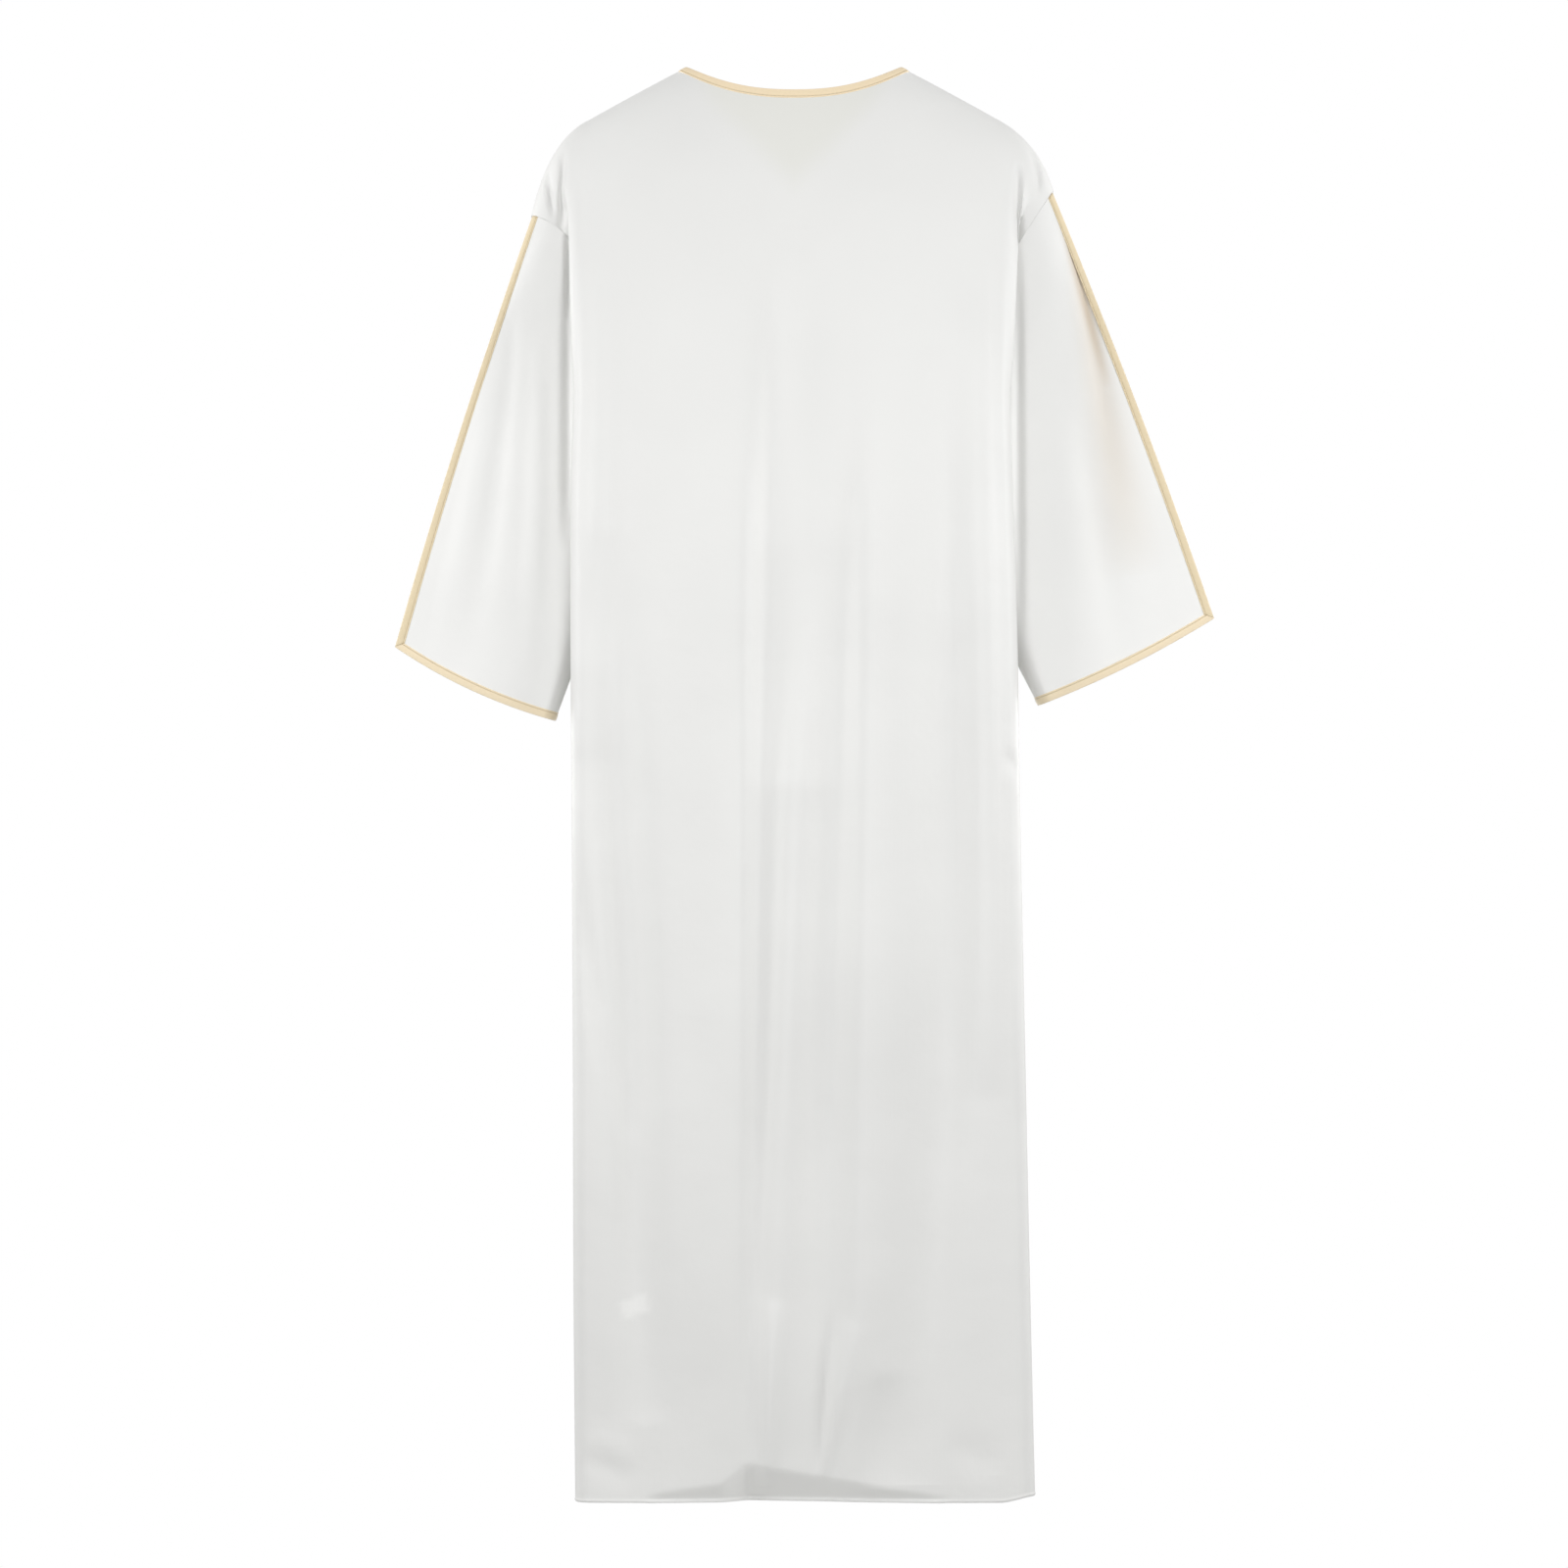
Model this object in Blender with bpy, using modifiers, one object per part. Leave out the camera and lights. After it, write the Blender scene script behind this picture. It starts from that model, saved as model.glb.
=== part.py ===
"""A long straight robe with dropped shoulders, wide sleeves that are open along the top, and bound
edges, hung upright and empty as on a hanger.

Units are metres. +Z is up, the front faces -Y and the wearer's left is +X. The origin is at the height
of the points where the shoulder seams meet the neckline, midway between the front and the back.

Each cloth piece is an open grid of points on its outer face, worked out from the sizes below, that a
Solidify modifier gives its wall. Sizes across the body are measured outward from its centre line.
"""

import math

import bmesh
import bpy
import numpy as np

COLLECTION = "thobe_robe"

# Cloth
WALL = 0.0012  # satin with its seam allowances
SEAM_GAP = 0.0003  # between neighbouring pieces
SHOULDER_SEAM = 0.0011  # outer face to the middle plane, where the shoulder seam runs over the fold
UNDERARM_SEAM = 0.0014  # the same at the sleeve's underarm seam
BAND_WIDTH = 0.0087  # bias binding, finished
BAND_WALL = 0.0018
BAND_PROUD = 0.0003  # how far the binding stands above the cloth
NECK_GAP = 0.0009  # seam gap at the neckline, where the cloth rolls over the shoulder
SLEEVE_GAP = 0.0006  # seam gap at the armhole, where the pieces meet at an angle

# Neck and shoulders
NECK_HALF = 0.105
SHOULDER_SLOPE = 0.583  # steepness that the shoulder line tends to
SHOULDER_EASE = 0.060  # rounds the line over the middle of the neck
NECK_COLUMNS = ("face", "drop", "power", "mitre")
NECK = {
    "back": (+1, 0.0275, 2.3, 1.0),
    "front": (-1, 0.140, 1.08, 1.65),
}

# Body
UNDERARM_Z = -0.322
HEM_Z = -1.398
FLAT_HALF = 0.288  # half of the body's width when it is laid flat
ROLL_RADIUS = 0.015  # soft fold down each side
TUCK_RADIUS = 0.010  # soft fold in which the side seam lies
SHOULDER_RISE = 0.200  # distance below the shoulder line at which the body is at full depth
RISE_POWER = 0.62

# Body sections. The sides are the visible folds, and depths are from the middle plane.
SECTION_COLUMNS = ("z", "left", "right", "back", "front", "back_crown", "front_crown")
SECTIONS = (
    (HEM_Z, 0.2140, 0.2365, 0.056, 0.056, 0.003, 0.006),
    (-1.200, 0.2155, 0.2320, 0.058, 0.058, 0.005, 0.008),
    (-0.950, 0.2165, 0.2265, 0.060, 0.060, 0.007, 0.010),
    (-0.700, 0.2180, 0.2210, 0.062, 0.062, 0.009, 0.012),
    (-0.550, 0.2205, 0.2170, 0.062, 0.062, 0.010, 0.014),
    (-0.420, 0.2175, 0.2130, 0.062, 0.062, 0.012, 0.016),
    (-0.300, 0.2175, 0.2115, 0.062, 0.062, 0.012, 0.016),
    (-0.160, 0.2190, 0.2150, 0.060, 0.060, 0.010, 0.012),
    (-0.050, 0.2190, 0.2180, 0.058, 0.058, 0.008, 0.008),
)

# Hanging folds: ridges are positive and valleys negative. x is given at the top, middle and bottom.
FOLD_COLUMNS = ("top", "bottom", "x_top", "x_middle", "x_bottom", "width", "height")
BACK_FOLDS = (
    (-0.50, -1.20, 0.064, 0.062, 0.060, 0.016, +0.006),
    (-0.50, -1.38, -0.006, 0.002, 0.026, 0.014, +0.007),
    (-0.48, -1.25, -0.071, -0.067, -0.065, 0.016, +0.006),
    (-0.30, -1.38, 0.022, 0.036, 0.043, 0.014, -0.006),
    (-0.40, -1.38, -0.046, -0.034, -0.036, 0.014, -0.008),
    (-0.50, -1.15, 0.178, 0.168, 0.152, 0.018, -0.007),
    (-0.62, -1.38, -0.152, -0.135, -0.118, 0.022, -0.007),
    (-1.33, -1.46, 0.040, 0.010, -0.020, 0.120, -0.012),
)
FRONT_FOLDS = (
    (-0.30, -1.30, 0.092, 0.088, 0.084, 0.018, +0.007),
    (-0.45, -1.38, 0.018, 0.012, 0.008, 0.018, -0.008),
    (-0.36, -1.38, -0.062, -0.066, -0.074, 0.018, +0.007),
    (-0.50, -1.38, 0.150, 0.152, 0.158, 0.020, -0.007),
    (-0.42, -1.38, -0.132, -0.136, -0.146, 0.020, -0.008),
)
FOLD_FADE = 0.7  # below 1, a fold keeps its height nearer to its ends

# Shoulder ends and sleeves, as (outward, z) points
SIDE_COLUMNS = ("sign", "crook", "arm_top", "arm_bend", "cuff_top", "cuff_under")
SIDES = {
    "left": (+1, (0.240, -0.070), (0.2575, -0.146), (0.190, -0.165), (0.390, -0.568), (0.234, -0.640)),
    "right": (-1, (0.240, -0.072), (0.2545, -0.121), (0.197, -0.205), (0.411, -0.540), (0.240, -0.625)),
}
ARMHOLE_DEPTH = 0.018  # half of the gap between front and back at mid armhole
ARMHOLE_SKEW = 0.7  # below 1, the armhole is widest above its middle and slim at the underarm
SLEEVE_KNOTS = np.array([0.0, 0.45, 1.0])  # shares of the sleeve's length
SLEEVE_DEPTHS = np.array([0.018, 0.023, 0.021])  # half of its thickness there
SLEEVE_ROUND = 2.5  # power of the sleeve's oval section
HEAD_LENGTH = 0.3  # share of the sleeve over which the armhole's shape gives way to the oval
SLIT_START = 0.02  # where the open edge starts, as a share of the armhole
SLIT_BOW = 0.004
UNDERARM_BOW = 0.007
CUFF_BOW = 0.007

# Blank label inside the left side seam
LABEL_Z = -1.203
LABEL_START = 0.002  # clear of the seam
LABEL_LENGTH = 0.026
LABEL_HEIGHT = 0.017
LABEL_DROOP = math.radians(20)
LABEL_WALL = 0.0010
LABEL_LIFT = 0.0035  # from the outer face of the back, measured level, to that of the label

# Grid lines
YOKE_ROWS = (0.0, 0.035, 0.09, 0.16, 0.26, 0.38, 0.52, 0.68, 0.84, 0.93)
SKIRT_ROWS = (UNDERARM_Z, -0.40, -0.50, -0.60, -0.70, -0.80, -0.90, -1.00, -1.10, -1.20, -1.30, -1.36, HEM_Z)
NECK_STEPS = 6
SHOULDER_STEPS = 4
ROLL_END = 0.48  # share of a side at which its roll ends
LEG_END = 0.76  # and at which the tuck starts
TUCK_LINES = (0.0, 0.12, 0.24, 0.36, ROLL_END, 0.62, LEG_END, 0.88, 1.0)
SLEEVE_LINES = YOKE_ROWS[2:] + (1.0,)
SLEEVE_STEPS = 9
LABEL_STEPS = 4

MATERIALS = {
    "ivory_satin": ((0.86, 0.86, 0.84, 1.0), 0.42),
    "sand_binding": ((0.80, 0.66, 0.45, 1.0), 0.45),
    "label_tape": ((0.90, 0.90, 0.89, 1.0), 0.60),
}


def named(columns, row):
    return dict(zip(columns, row))


def column(columns, rows, name):
    return np.array([named(columns, row)[name] for row in rows])


def through(knots, values, at):
    """A smooth curve through the values: a cubic between knots, with slopes taken from neighbours."""
    slopes = np.gradient(values, knots)
    i = np.clip(np.searchsorted(knots, at) - 1, 0, len(knots) - 2)
    step = knots[i + 1] - knots[i]
    t = np.clip((at - knots[i]) / step, 0, 1)
    start = (1 + 2 * t) * (1 - t) ** 2 * values[i] + t * (1 - t) ** 2 * step * slopes[i]
    end = t**2 * (3 - 2 * t) * values[i + 1] - t**2 * (1 - t) * step * slopes[i + 1]
    return start + end


def section(name, z):
    """One column of the table of body sections, read at the heights z."""
    return through(
        column(SECTION_COLUMNS, SECTIONS, "z"), column(SECTION_COLUMNS, SECTIONS, name), z
    )


def bezier(start, bend, end, t):
    """Points of a quadratic curve, one row for each t."""
    t = np.asarray(t, float)[..., None]
    start, bend, end = (np.asarray(point, float) for point in (start, bend, end))
    return (1 - t) ** 2 * start + 2 * t * (1 - t) * bend + t**2 * end


def bowed(start, end, bow, t):
    """A straight edge that bows to the right of its direction by the given distance."""
    start, end = np.asarray(start, float), np.asarray(end, float)
    along = (end - start) / np.linalg.norm(end - start)
    middle = (start + end) / 2 + 2 * bow * np.array([along[1], -along[0]])
    return bezier(start, middle, end, t)


def shoulder_line(out):
    """Height of the shoulder ridge: a hyperbola through the neck point."""
    rise = np.hypot(out, SHOULDER_EASE) - math.hypot(NECK_HALF, SHOULDER_EASE)
    return -SHOULDER_SLOPE * rise


def neck_edge(face, share, inset):
    """(x, z) of the neckline, moved into the cloth by inset. share runs from -1 to 1 across the neck."""
    neck = named(NECK_COLUMNS, NECK[face])
    slope = math.atan(SHOULDER_SLOPE * NECK_HALF / math.hypot(NECK_HALF, SHOULDER_EASE))
    half = NECK_HALF + inset * math.cos(slope)
    top = shoulder_line(half)
    low = -neck["drop"] - inset * neck["mitre"]
    return half * share, top + (low - top) * (1 - np.abs(share) ** neck["power"])


def fold_height(folds, x, z):
    """Sum of the hanging folds: each has a bell section and fades in and out along its length."""
    total = np.zeros(np.broadcast(x, z).shape)
    for row in folds:
        fold = named(FOLD_COLUMNS, row)
        along = np.clip((fold["top"] - z) / (fold["top"] - fold["bottom"]), 0, 1)
        knots = np.array([0.0, 0.5, 1.0])
        centre = through(knots, np.array([fold["x_top"], fold["x_middle"], fold["x_bottom"]]), along)
        fade = np.sin(math.pi * along) ** FOLD_FADE
        total += fold["height"] * fade * np.exp(-(((x - centre) / fold["width"]) ** 2))
    return total


def body_depth(face, x, z):
    """Distance of the body's outer face from the middle plane, at x and z."""
    folds = BACK_FOLDS if face == "back" else FRONT_FOLDS
    below = np.clip((shoulder_line(np.abs(x)) - z) / SHOULDER_RISE, 0, 1)
    growth = (1 - (1 - below) ** 2) ** RISE_POWER
    half = np.where(x > 0, section("left", z), section("right", z)) - ROLL_RADIUS
    crown = section(face + "_crown", z) * np.clip(1 - (x / half) ** 2, 0, 1)
    return SHOULDER_SEAM + growth * (section(face, z) + crown + fold_height(folds, x, z))


def tuck_section(side, face, z, share):
    """The side of the body at height z: round the visible fold, inward, and into the fold that holds
    the side seam. Two arcs and the straight line that touches both, as (outward, depth)."""
    edge = section(side, z)
    sign = named(SIDE_COLUMNS, SIDES[side])["sign"]
    roll = np.array([edge - ROLL_RADIUS, body_depth(face, sign * (edge - ROLL_RADIUS), z) - ROLL_RADIUS])
    tuck = np.array([2 * edge - FLAT_HALF + TUCK_RADIUS, SEAM_GAP / 2])
    reach = tuck - roll
    heading = math.atan2(reach[1], reach[0]) - math.asin((ROLL_RADIUS + TUCK_RADIUS) / np.hypot(*reach))
    turn = heading + math.pi / 2
    roll_angle = math.pi / 2 + (turn - math.pi / 2) * np.clip(share / ROLL_END, 0, 1)
    tuck_angle = turn + math.pi - turn * np.clip((share - LEG_END) / (1 - LEG_END), 0, 1)
    around_roll = roll + ROLL_RADIUS * np.stack([np.cos(roll_angle), np.sin(roll_angle)], -1)
    around_tuck = tuck + TUCK_RADIUS * np.stack([np.cos(tuck_angle), np.sin(tuck_angle)], -1)
    across = np.clip((share - ROLL_END) / (LEG_END - ROLL_END), 0, 1)[..., None]
    return around_roll * (1 - across) + around_tuck * across


def oval(share):
    """Section of a sleeve, from 0 at one edge to 1 at the middle and 0 at the other edge."""
    return np.sqrt(np.clip(1 - np.abs(2 * np.asarray(share, float) - 1) ** SLEEVE_ROUND, 0, 1))


def armhole(side, share):
    """(outward, depth, z) of the armhole seam, from the shoulder to the underarm, where it closes."""
    row = named(SIDE_COLUMNS, SIDES[side])
    under = (2 * section(side, UNDERARM_Z) - FLAT_HALF, UNDERARM_Z)
    share = np.asarray(share, float)
    flat = bezier(row["arm_top"], row["arm_bend"], under, share)
    depth = ARMHOLE_DEPTH * np.sin(math.pi * share**ARMHOLE_SKEW)
    seam = SHOULDER_SEAM + (UNDERARM_SEAM - SHOULDER_SEAM) * share
    return np.stack([flat[..., 0], seam + depth, flat[..., 1]], -1)


def armhole_chord(side, share):
    """The armhole as the body's grid has it, straight between its rows, with the sleeve's seam gap."""
    knots = np.array(YOKE_ROWS + (1.0,))
    points = armhole(side, knots)
    along = np.gradient(points[:, [0, 2]], axis=0)
    along /= np.linalg.norm(along, axis=1, keepdims=True)
    points = points + SLEEVE_GAP * np.stack([-along[:, 1], 0 * knots, along[:, 0]], 1)
    return np.stack([np.interp(share, knots, points[:, i]) for i in range(3)], -1)


def tuck_rows(side, face):
    """(outward, depth, z) of the body beyond the roll, for the rows of the yoke and of the skirt.

    Above the underarm the patch is spanned by its four borders: the end of the shoulder seam, the
    armhole, the start of the roll, and the section at the underarm.
    """
    share = np.array(TUCK_LINES)
    row = named(SIDE_COLUMNS, SIDES[side])
    start_out = section(side, SECTIONS[-1][0]) - ROLL_RADIUS
    start = (start_out, shoulder_line(start_out))
    top = bezier(start, row["crook"], row["arm_top"], share)
    top = np.stack([top[:, 0], np.full(len(share), SHOULDER_SEAM), top[:, 1]], -1)
    low = tuck_section(side, face, UNDERARM_Z, share)
    low = np.stack([low[:, 0], low[:, 1], np.full(len(share), UNDERARM_Z)], -1)
    rows = []
    for w in YOKE_ROWS:
        z = start[1] + (UNDERARM_Z - start[1]) * w
        out = section(side, z) - ROLL_RADIUS
        first = np.array([out, body_depth(face, row["sign"] * out, z), z])
        last = armhole(side, w)
        spread = share[:, None]
        chord = first + (last - first) * spread
        top_bulge = top - (top[0] + (top[-1] - top[0]) * spread)
        low_bulge = low - (low[0] + (low[-1] - low[0]) * spread)
        settle = w * w * (3 - 2 * w)
        rows.append(chord + (1 - settle) * top_bulge + settle * low_bulge)
    for z in SKIRT_ROWS:
        flat = tuck_section(side, face, z, share)
        rows.append(np.stack([flat[:, 0], flat[:, 1], np.full(len(share), z)], -1))
    return np.array(rows)


def neck_shares():
    """Places across the neck, closer together towards the shoulders."""
    return np.sin(np.linspace(-math.pi / 2, math.pi / 2, 2 * NECK_STEPS + 1))


def body_points(face):
    """Grid of the back or front panel, from the right side seam to the left one, top row first."""
    sign = named(NECK_COLUMNS, NECK[face])["face"]
    tucks = {side: tuck_rows(side, face) for side in SIDES}
    neck_x, neck_z = neck_edge(face, neck_shares(), BAND_WIDTH + NECK_GAP)
    even_x = np.linspace(neck_x[0], neck_x[-1], len(neck_x))
    rows = []
    for i, w in enumerate(YOKE_ROWS + (1.0,) * len(SKIRT_ROWS)):
        left, right = tucks["left"][i, 0], tucks["right"][i, 0]
        step = np.arange(1, SHOULDER_STEPS) / SHOULDER_STEPS
        left_x = neck_x[-1] + (left[0] - neck_x[-1]) * step
        right_x = -right[0] + (neck_x[0] + right[0]) * step
        x = np.concatenate([right_x, neck_x + (even_x - neck_x) * w, left_x])
        top = shoulder_line(np.abs(x))
        top[len(right_x) : len(right_x) + len(neck_x)] = neck_z
        z = top + (left[2] - top) * w if i >= len(YOKE_ROWS) else top + (UNDERARM_Z - top) * w
        middle = np.stack([x, body_depth(face, x, z), z], -1)
        outward = np.array([-1, 1, 1])
        rows.append(np.concatenate([tucks["right"][i][::-1] * outward, middle, tucks["left"][i]]))
    return np.array(rows) * np.array([1, sign, 1])


def sleeve_point(side, w, p):
    """(outward, depth, z) of the sleeve: w runs from its open top edge round to the underarm seam and
    p from the armhole to the cuff. It spans the armhole, the cuff and the two long edges."""
    row = named(SIDE_COLUMNS, SIDES[side])
    w, p = np.broadcast_arrays(np.asarray(w, float), np.asarray(p, float))
    share = SLIT_START + (1 - SLIT_START) * w
    head = armhole_chord(side, share)
    first, last = armhole_chord(side, SLIT_START)[[0, 2]], armhole_chord(side, 1.0)[[0, 2]]
    cuff = bowed(row["cuff_top"], row["cuff_under"], -CUFF_BOW, w)
    slit = bowed(first, row["cuff_top"], -SLIT_BOW, p)
    under = bowed(last, row["cuff_under"], UNDERARM_BOW, p)
    depth = UNDERARM_SEAM + through(SLEEVE_KNOTS, SLEEVE_DEPTHS, p) * oval(share)
    opened = np.clip(p / HEAD_LENGTH, 0, 1)
    opened = opened * opened * (3 - 2 * opened)
    depth = head[..., 1] * (1 - opened) + depth * opened
    w, p = w[..., None], p[..., None]
    corners = (1 - p) * ((1 - w) * first + w * last)
    corners = corners + p * ((1 - w) * np.array(row["cuff_top"]) + w * np.array(row["cuff_under"]))
    flat = (1 - p) * head[..., [0, 2]] + p * cuff + (1 - w) * slit + w * under - corners
    return np.stack([flat[..., 0], depth, flat[..., 1]], -1)


def slit_share(side, inset, p):
    """The w of a point this far from the sleeve's open edge."""
    width = np.linalg.norm(sleeve_point(side, 1.0, p) - sleeve_point(side, 0.0, p), axis=-1)
    return inset / width


def cuff_share(side, inset, w):
    """The p of a point this far from the cuff."""
    length = np.linalg.norm(sleeve_point(side, w, 1.0) - sleeve_point(side, w, 0.0), axis=-1)
    return 1 - inset / length


def sleeve_lines(side):
    """The w of each line along the sleeve, and the p of each line across it, clear of the binding."""
    inset = BAND_WIDTH + SEAM_GAP
    first = slit_share(side, inset, 0.0)
    share = (np.array(SLEEVE_LINES) - SLIT_START) / (1 - SLIT_START)
    a = np.concatenate([[0.0], (share - first) / (1 - first)])[None, :]
    b = np.linspace(0, 1, SLEEVE_STEPS + 1)[:, None]
    last = slit_share(side, inset, 1.0)
    p = cuff_share(side, inset, last + (1 - last) * a) * b
    first = slit_share(side, inset, p)
    return first + (1 - first) * a, p


def sleeve_points(side):
    return sleeve_point(side, *sleeve_lines(side))


def sleeve_band_points(side):
    """The binding's grid: down the open edge, round a mitred corner, and along the cuff."""
    w, p = sleeve_lines(side)
    across = np.array([0.0, BAND_WIDTH])[None, :]
    down = p[:-1, :1] + 0 * across
    round_cuff = w[-1, 1:, None] + 0 * across
    slit = sleeve_point(side, slit_share(side, across, down), down)
    corner = sleeve_point(side, slit_share(side, across, 1.0), cuff_share(side, across, 0.0))
    cuff = sleeve_point(side, round_cuff, cuff_share(side, across, round_cuff))
    return np.concatenate([slit, corner, cuff])


def neck_band_points(face):
    sign = named(NECK_COLUMNS, NECK[face])["face"]
    edges = []
    for inset in (0.0, BAND_WIDTH):
        x, z = neck_edge(face, neck_shares(), inset)
        depth = body_depth(face, x, z) + BAND_WALL - WALL
        edges.append(np.stack([x, sign * depth, z], -1))
    return np.stack(edges, 1)


def label_points():
    """The label lies on the inside of the tuck, from the side seam outward, and droops."""
    edge = tuck_section("left", "back", LABEL_Z, np.array(TUCK_LINES))[::-1]
    a, b = np.meshgrid(np.linspace(0, 1, LABEL_STEPS + 1), np.array([0.0, 1.0]))
    out = edge[0, 0] + LABEL_START + a * LABEL_LENGTH * math.cos(LABEL_DROOP)
    z = LABEL_Z - a * LABEL_LENGTH * math.sin(LABEL_DROOP) - b * LABEL_HEIGHT
    return np.stack([out, np.interp(out, edge[:, 0], edge[:, 1]) + LABEL_LIFT, z], -1)


def placed(points, side, face):
    """Turns (outward, depth, z) into world (x, y, z)."""
    sign = named(SIDE_COLUMNS, SIDES[side])["sign"]
    return points * np.array([sign, named(NECK_COLUMNS, NECK[face])["face"], 1])


def grid_normals(points):
    """Unit normals of a grid, from its two directions."""
    across = np.gradient(points, axis=1)
    down = np.gradient(points, axis=0)
    normal = np.cross(across, down)
    return normal / np.linalg.norm(normal, axis=-1, keepdims=True)


def material(name):
    colour, roughness = MATERIALS[name]
    made = bpy.data.materials.get(name) or bpy.data.materials.new(name)
    made.use_nodes = True
    made.diffuse_color = colour
    shader = made.node_tree.nodes["Principled BSDF"]
    shader.inputs["Base Color"].default_value = colour
    shader.inputs["Roughness"].default_value = roughness
    shader.inputs["Metallic"].default_value = 0.0
    return made


def cloth(collection, name, points, outward, material_name, wall=WALL, proud=0.0):
    """A cloth piece: the grid as an open mesh facing the way of outward, then given its wall."""
    normals = grid_normals(points)
    turned = np.sum(normals * outward) < 0
    if turned:
        normals = -normals
    points = points + proud * normals
    rows, columns = points.shape[:2]
    mesh = bpy.data.meshes.new(name)
    shape = bmesh.new()
    verts = [shape.verts.new(point) for point in points.reshape(-1, 3)]
    for r in range(rows - 1):
        for c in range(columns - 1):
            i = r * columns + c
            for corners in ((i, i + columns, i + columns + 1), (i, i + columns + 1, i + 1)):
                shape.faces.new([verts[k] for k in (corners if turned else corners[::-1])])
    shape.to_mesh(mesh)
    shape.free()
    mesh.shade_smooth()
    piece = bpy.data.objects.new(name, mesh)
    piece.data.materials.append(material(material_name))
    wall_modifier = piece.modifiers.new("wall", "SOLIDIFY")
    wall_modifier.thickness = wall
    wall_modifier.offset = -1.0
    collection.objects.link(piece)
    return piece


def build():
    for old in list(bpy.data.objects):
        bpy.data.objects.remove(old, do_unlink=True)
    collection = bpy.data.collections.new(COLLECTION)
    bpy.context.scene.collection.children.link(collection)
    for face in NECK:
        outward = (0, named(NECK_COLUMNS, NECK[face])["face"], 0)
        cloth(collection, f"{face}_panel", body_points(face), outward, "ivory_satin")
        cloth(collection, f"{face}_neck_binding", neck_band_points(face), outward, "sand_binding",
              wall=BAND_WALL)
        for side in SIDES:
            sleeve = placed(sleeve_points(side), side, face)
            cloth(collection, f"{side}_sleeve_{face}", sleeve, outward, "ivory_satin")
            band = placed(sleeve_band_points(side), side, face)
            cloth(collection, f"{side}_sleeve_binding_{face}", band, outward, "sand_binding",
                  wall=BAND_WALL, proud=BAND_PROUD)
    label = placed(label_points(), "left", "back")
    cloth(collection, "care_label", label, (0, 1, 0), "label_tape", wall=LABEL_WALL)


build()
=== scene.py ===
"""A long straight robe in ivory satin with sand bias bindings, hung upright, empty and filled out.

Every surface is a function of two shares, worked out as whole arrays. +Z is up, the front faces -Y
and the wearer's left is +X. Sizes across the body are measured outward from its centre line, and
depths from the middle plane between front and back.
"""

import math

import bpy
import numpy as np
from bpy.props import FloatProperty, FloatVectorProperty, PointerProperty
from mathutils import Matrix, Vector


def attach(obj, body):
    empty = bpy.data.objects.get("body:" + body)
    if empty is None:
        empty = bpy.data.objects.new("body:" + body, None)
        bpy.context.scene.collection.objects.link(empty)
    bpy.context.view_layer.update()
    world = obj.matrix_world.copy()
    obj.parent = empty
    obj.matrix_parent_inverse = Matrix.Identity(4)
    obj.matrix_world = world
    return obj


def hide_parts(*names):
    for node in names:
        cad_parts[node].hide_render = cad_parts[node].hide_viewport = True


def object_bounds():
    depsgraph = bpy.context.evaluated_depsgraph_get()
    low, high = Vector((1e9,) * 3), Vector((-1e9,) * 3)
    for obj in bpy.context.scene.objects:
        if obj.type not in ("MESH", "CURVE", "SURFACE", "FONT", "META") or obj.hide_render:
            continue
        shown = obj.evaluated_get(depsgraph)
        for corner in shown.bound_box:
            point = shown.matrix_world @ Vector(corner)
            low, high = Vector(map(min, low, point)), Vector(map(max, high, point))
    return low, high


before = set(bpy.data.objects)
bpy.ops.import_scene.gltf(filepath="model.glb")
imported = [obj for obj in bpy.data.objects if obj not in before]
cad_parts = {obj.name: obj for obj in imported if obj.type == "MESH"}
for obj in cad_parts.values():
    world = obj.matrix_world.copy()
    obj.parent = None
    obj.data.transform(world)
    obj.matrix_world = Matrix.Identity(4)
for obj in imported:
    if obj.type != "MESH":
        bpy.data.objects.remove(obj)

bl_info = {
    "name": "Satin robe",
    "version": (1, 0, 0),
    "blender": (4, 5, 0),
    "location": "3D View > Sidebar > Robe",
    "description": "Cuts, binds and hangs a long satin robe",
    "category": "Add Mesh",
}

CAD_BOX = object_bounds()

# Cloth, in metres
WALL = 0.0007
SHOULDER_SEAM = 0.0008
UNDERARM_SEAM = 0.0008
SIDE_SEAM = 0.00015
ARMHOLE_GAP = 0.0002
TUCKED_IN = 0.0015  # how far the cloth's edge runs into a binding
BAND_WIDTH = 0.0087
BAND_HALF_WALL = 0.0009
BAND_POWERS = (0.75, 0.55)  # of the cosine and the sine that its section is drawn with
NECK_SINK = BAND_HALF_WALL / 3  # how far the neck bindings are pressed in
CLOTH_INSET = BAND_WIDTH - TUCKED_IN  # from a binding's free edge to the cloth's edge
STITCH_INSET = 0.0069  # from the binding's free edge to its topstitching
GROOVE_DEPTH = 0.0006
GROOVE_WIDTH = 0.0006

# Neck and shoulders
NECK_HALF = 0.105
SHOULDER_SLOPE = 0.583
SHOULDER_EASE = 0.060
NECK = {  # how low it is cut, the power of its curve, and how much wider the binding is at the middle
    "back": (0.0275, 2.3, 1.0),
    "front": (0.140, 1.08, 1.65),
}
FACE_SIGN = {"back": 1, "front": -1}

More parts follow.
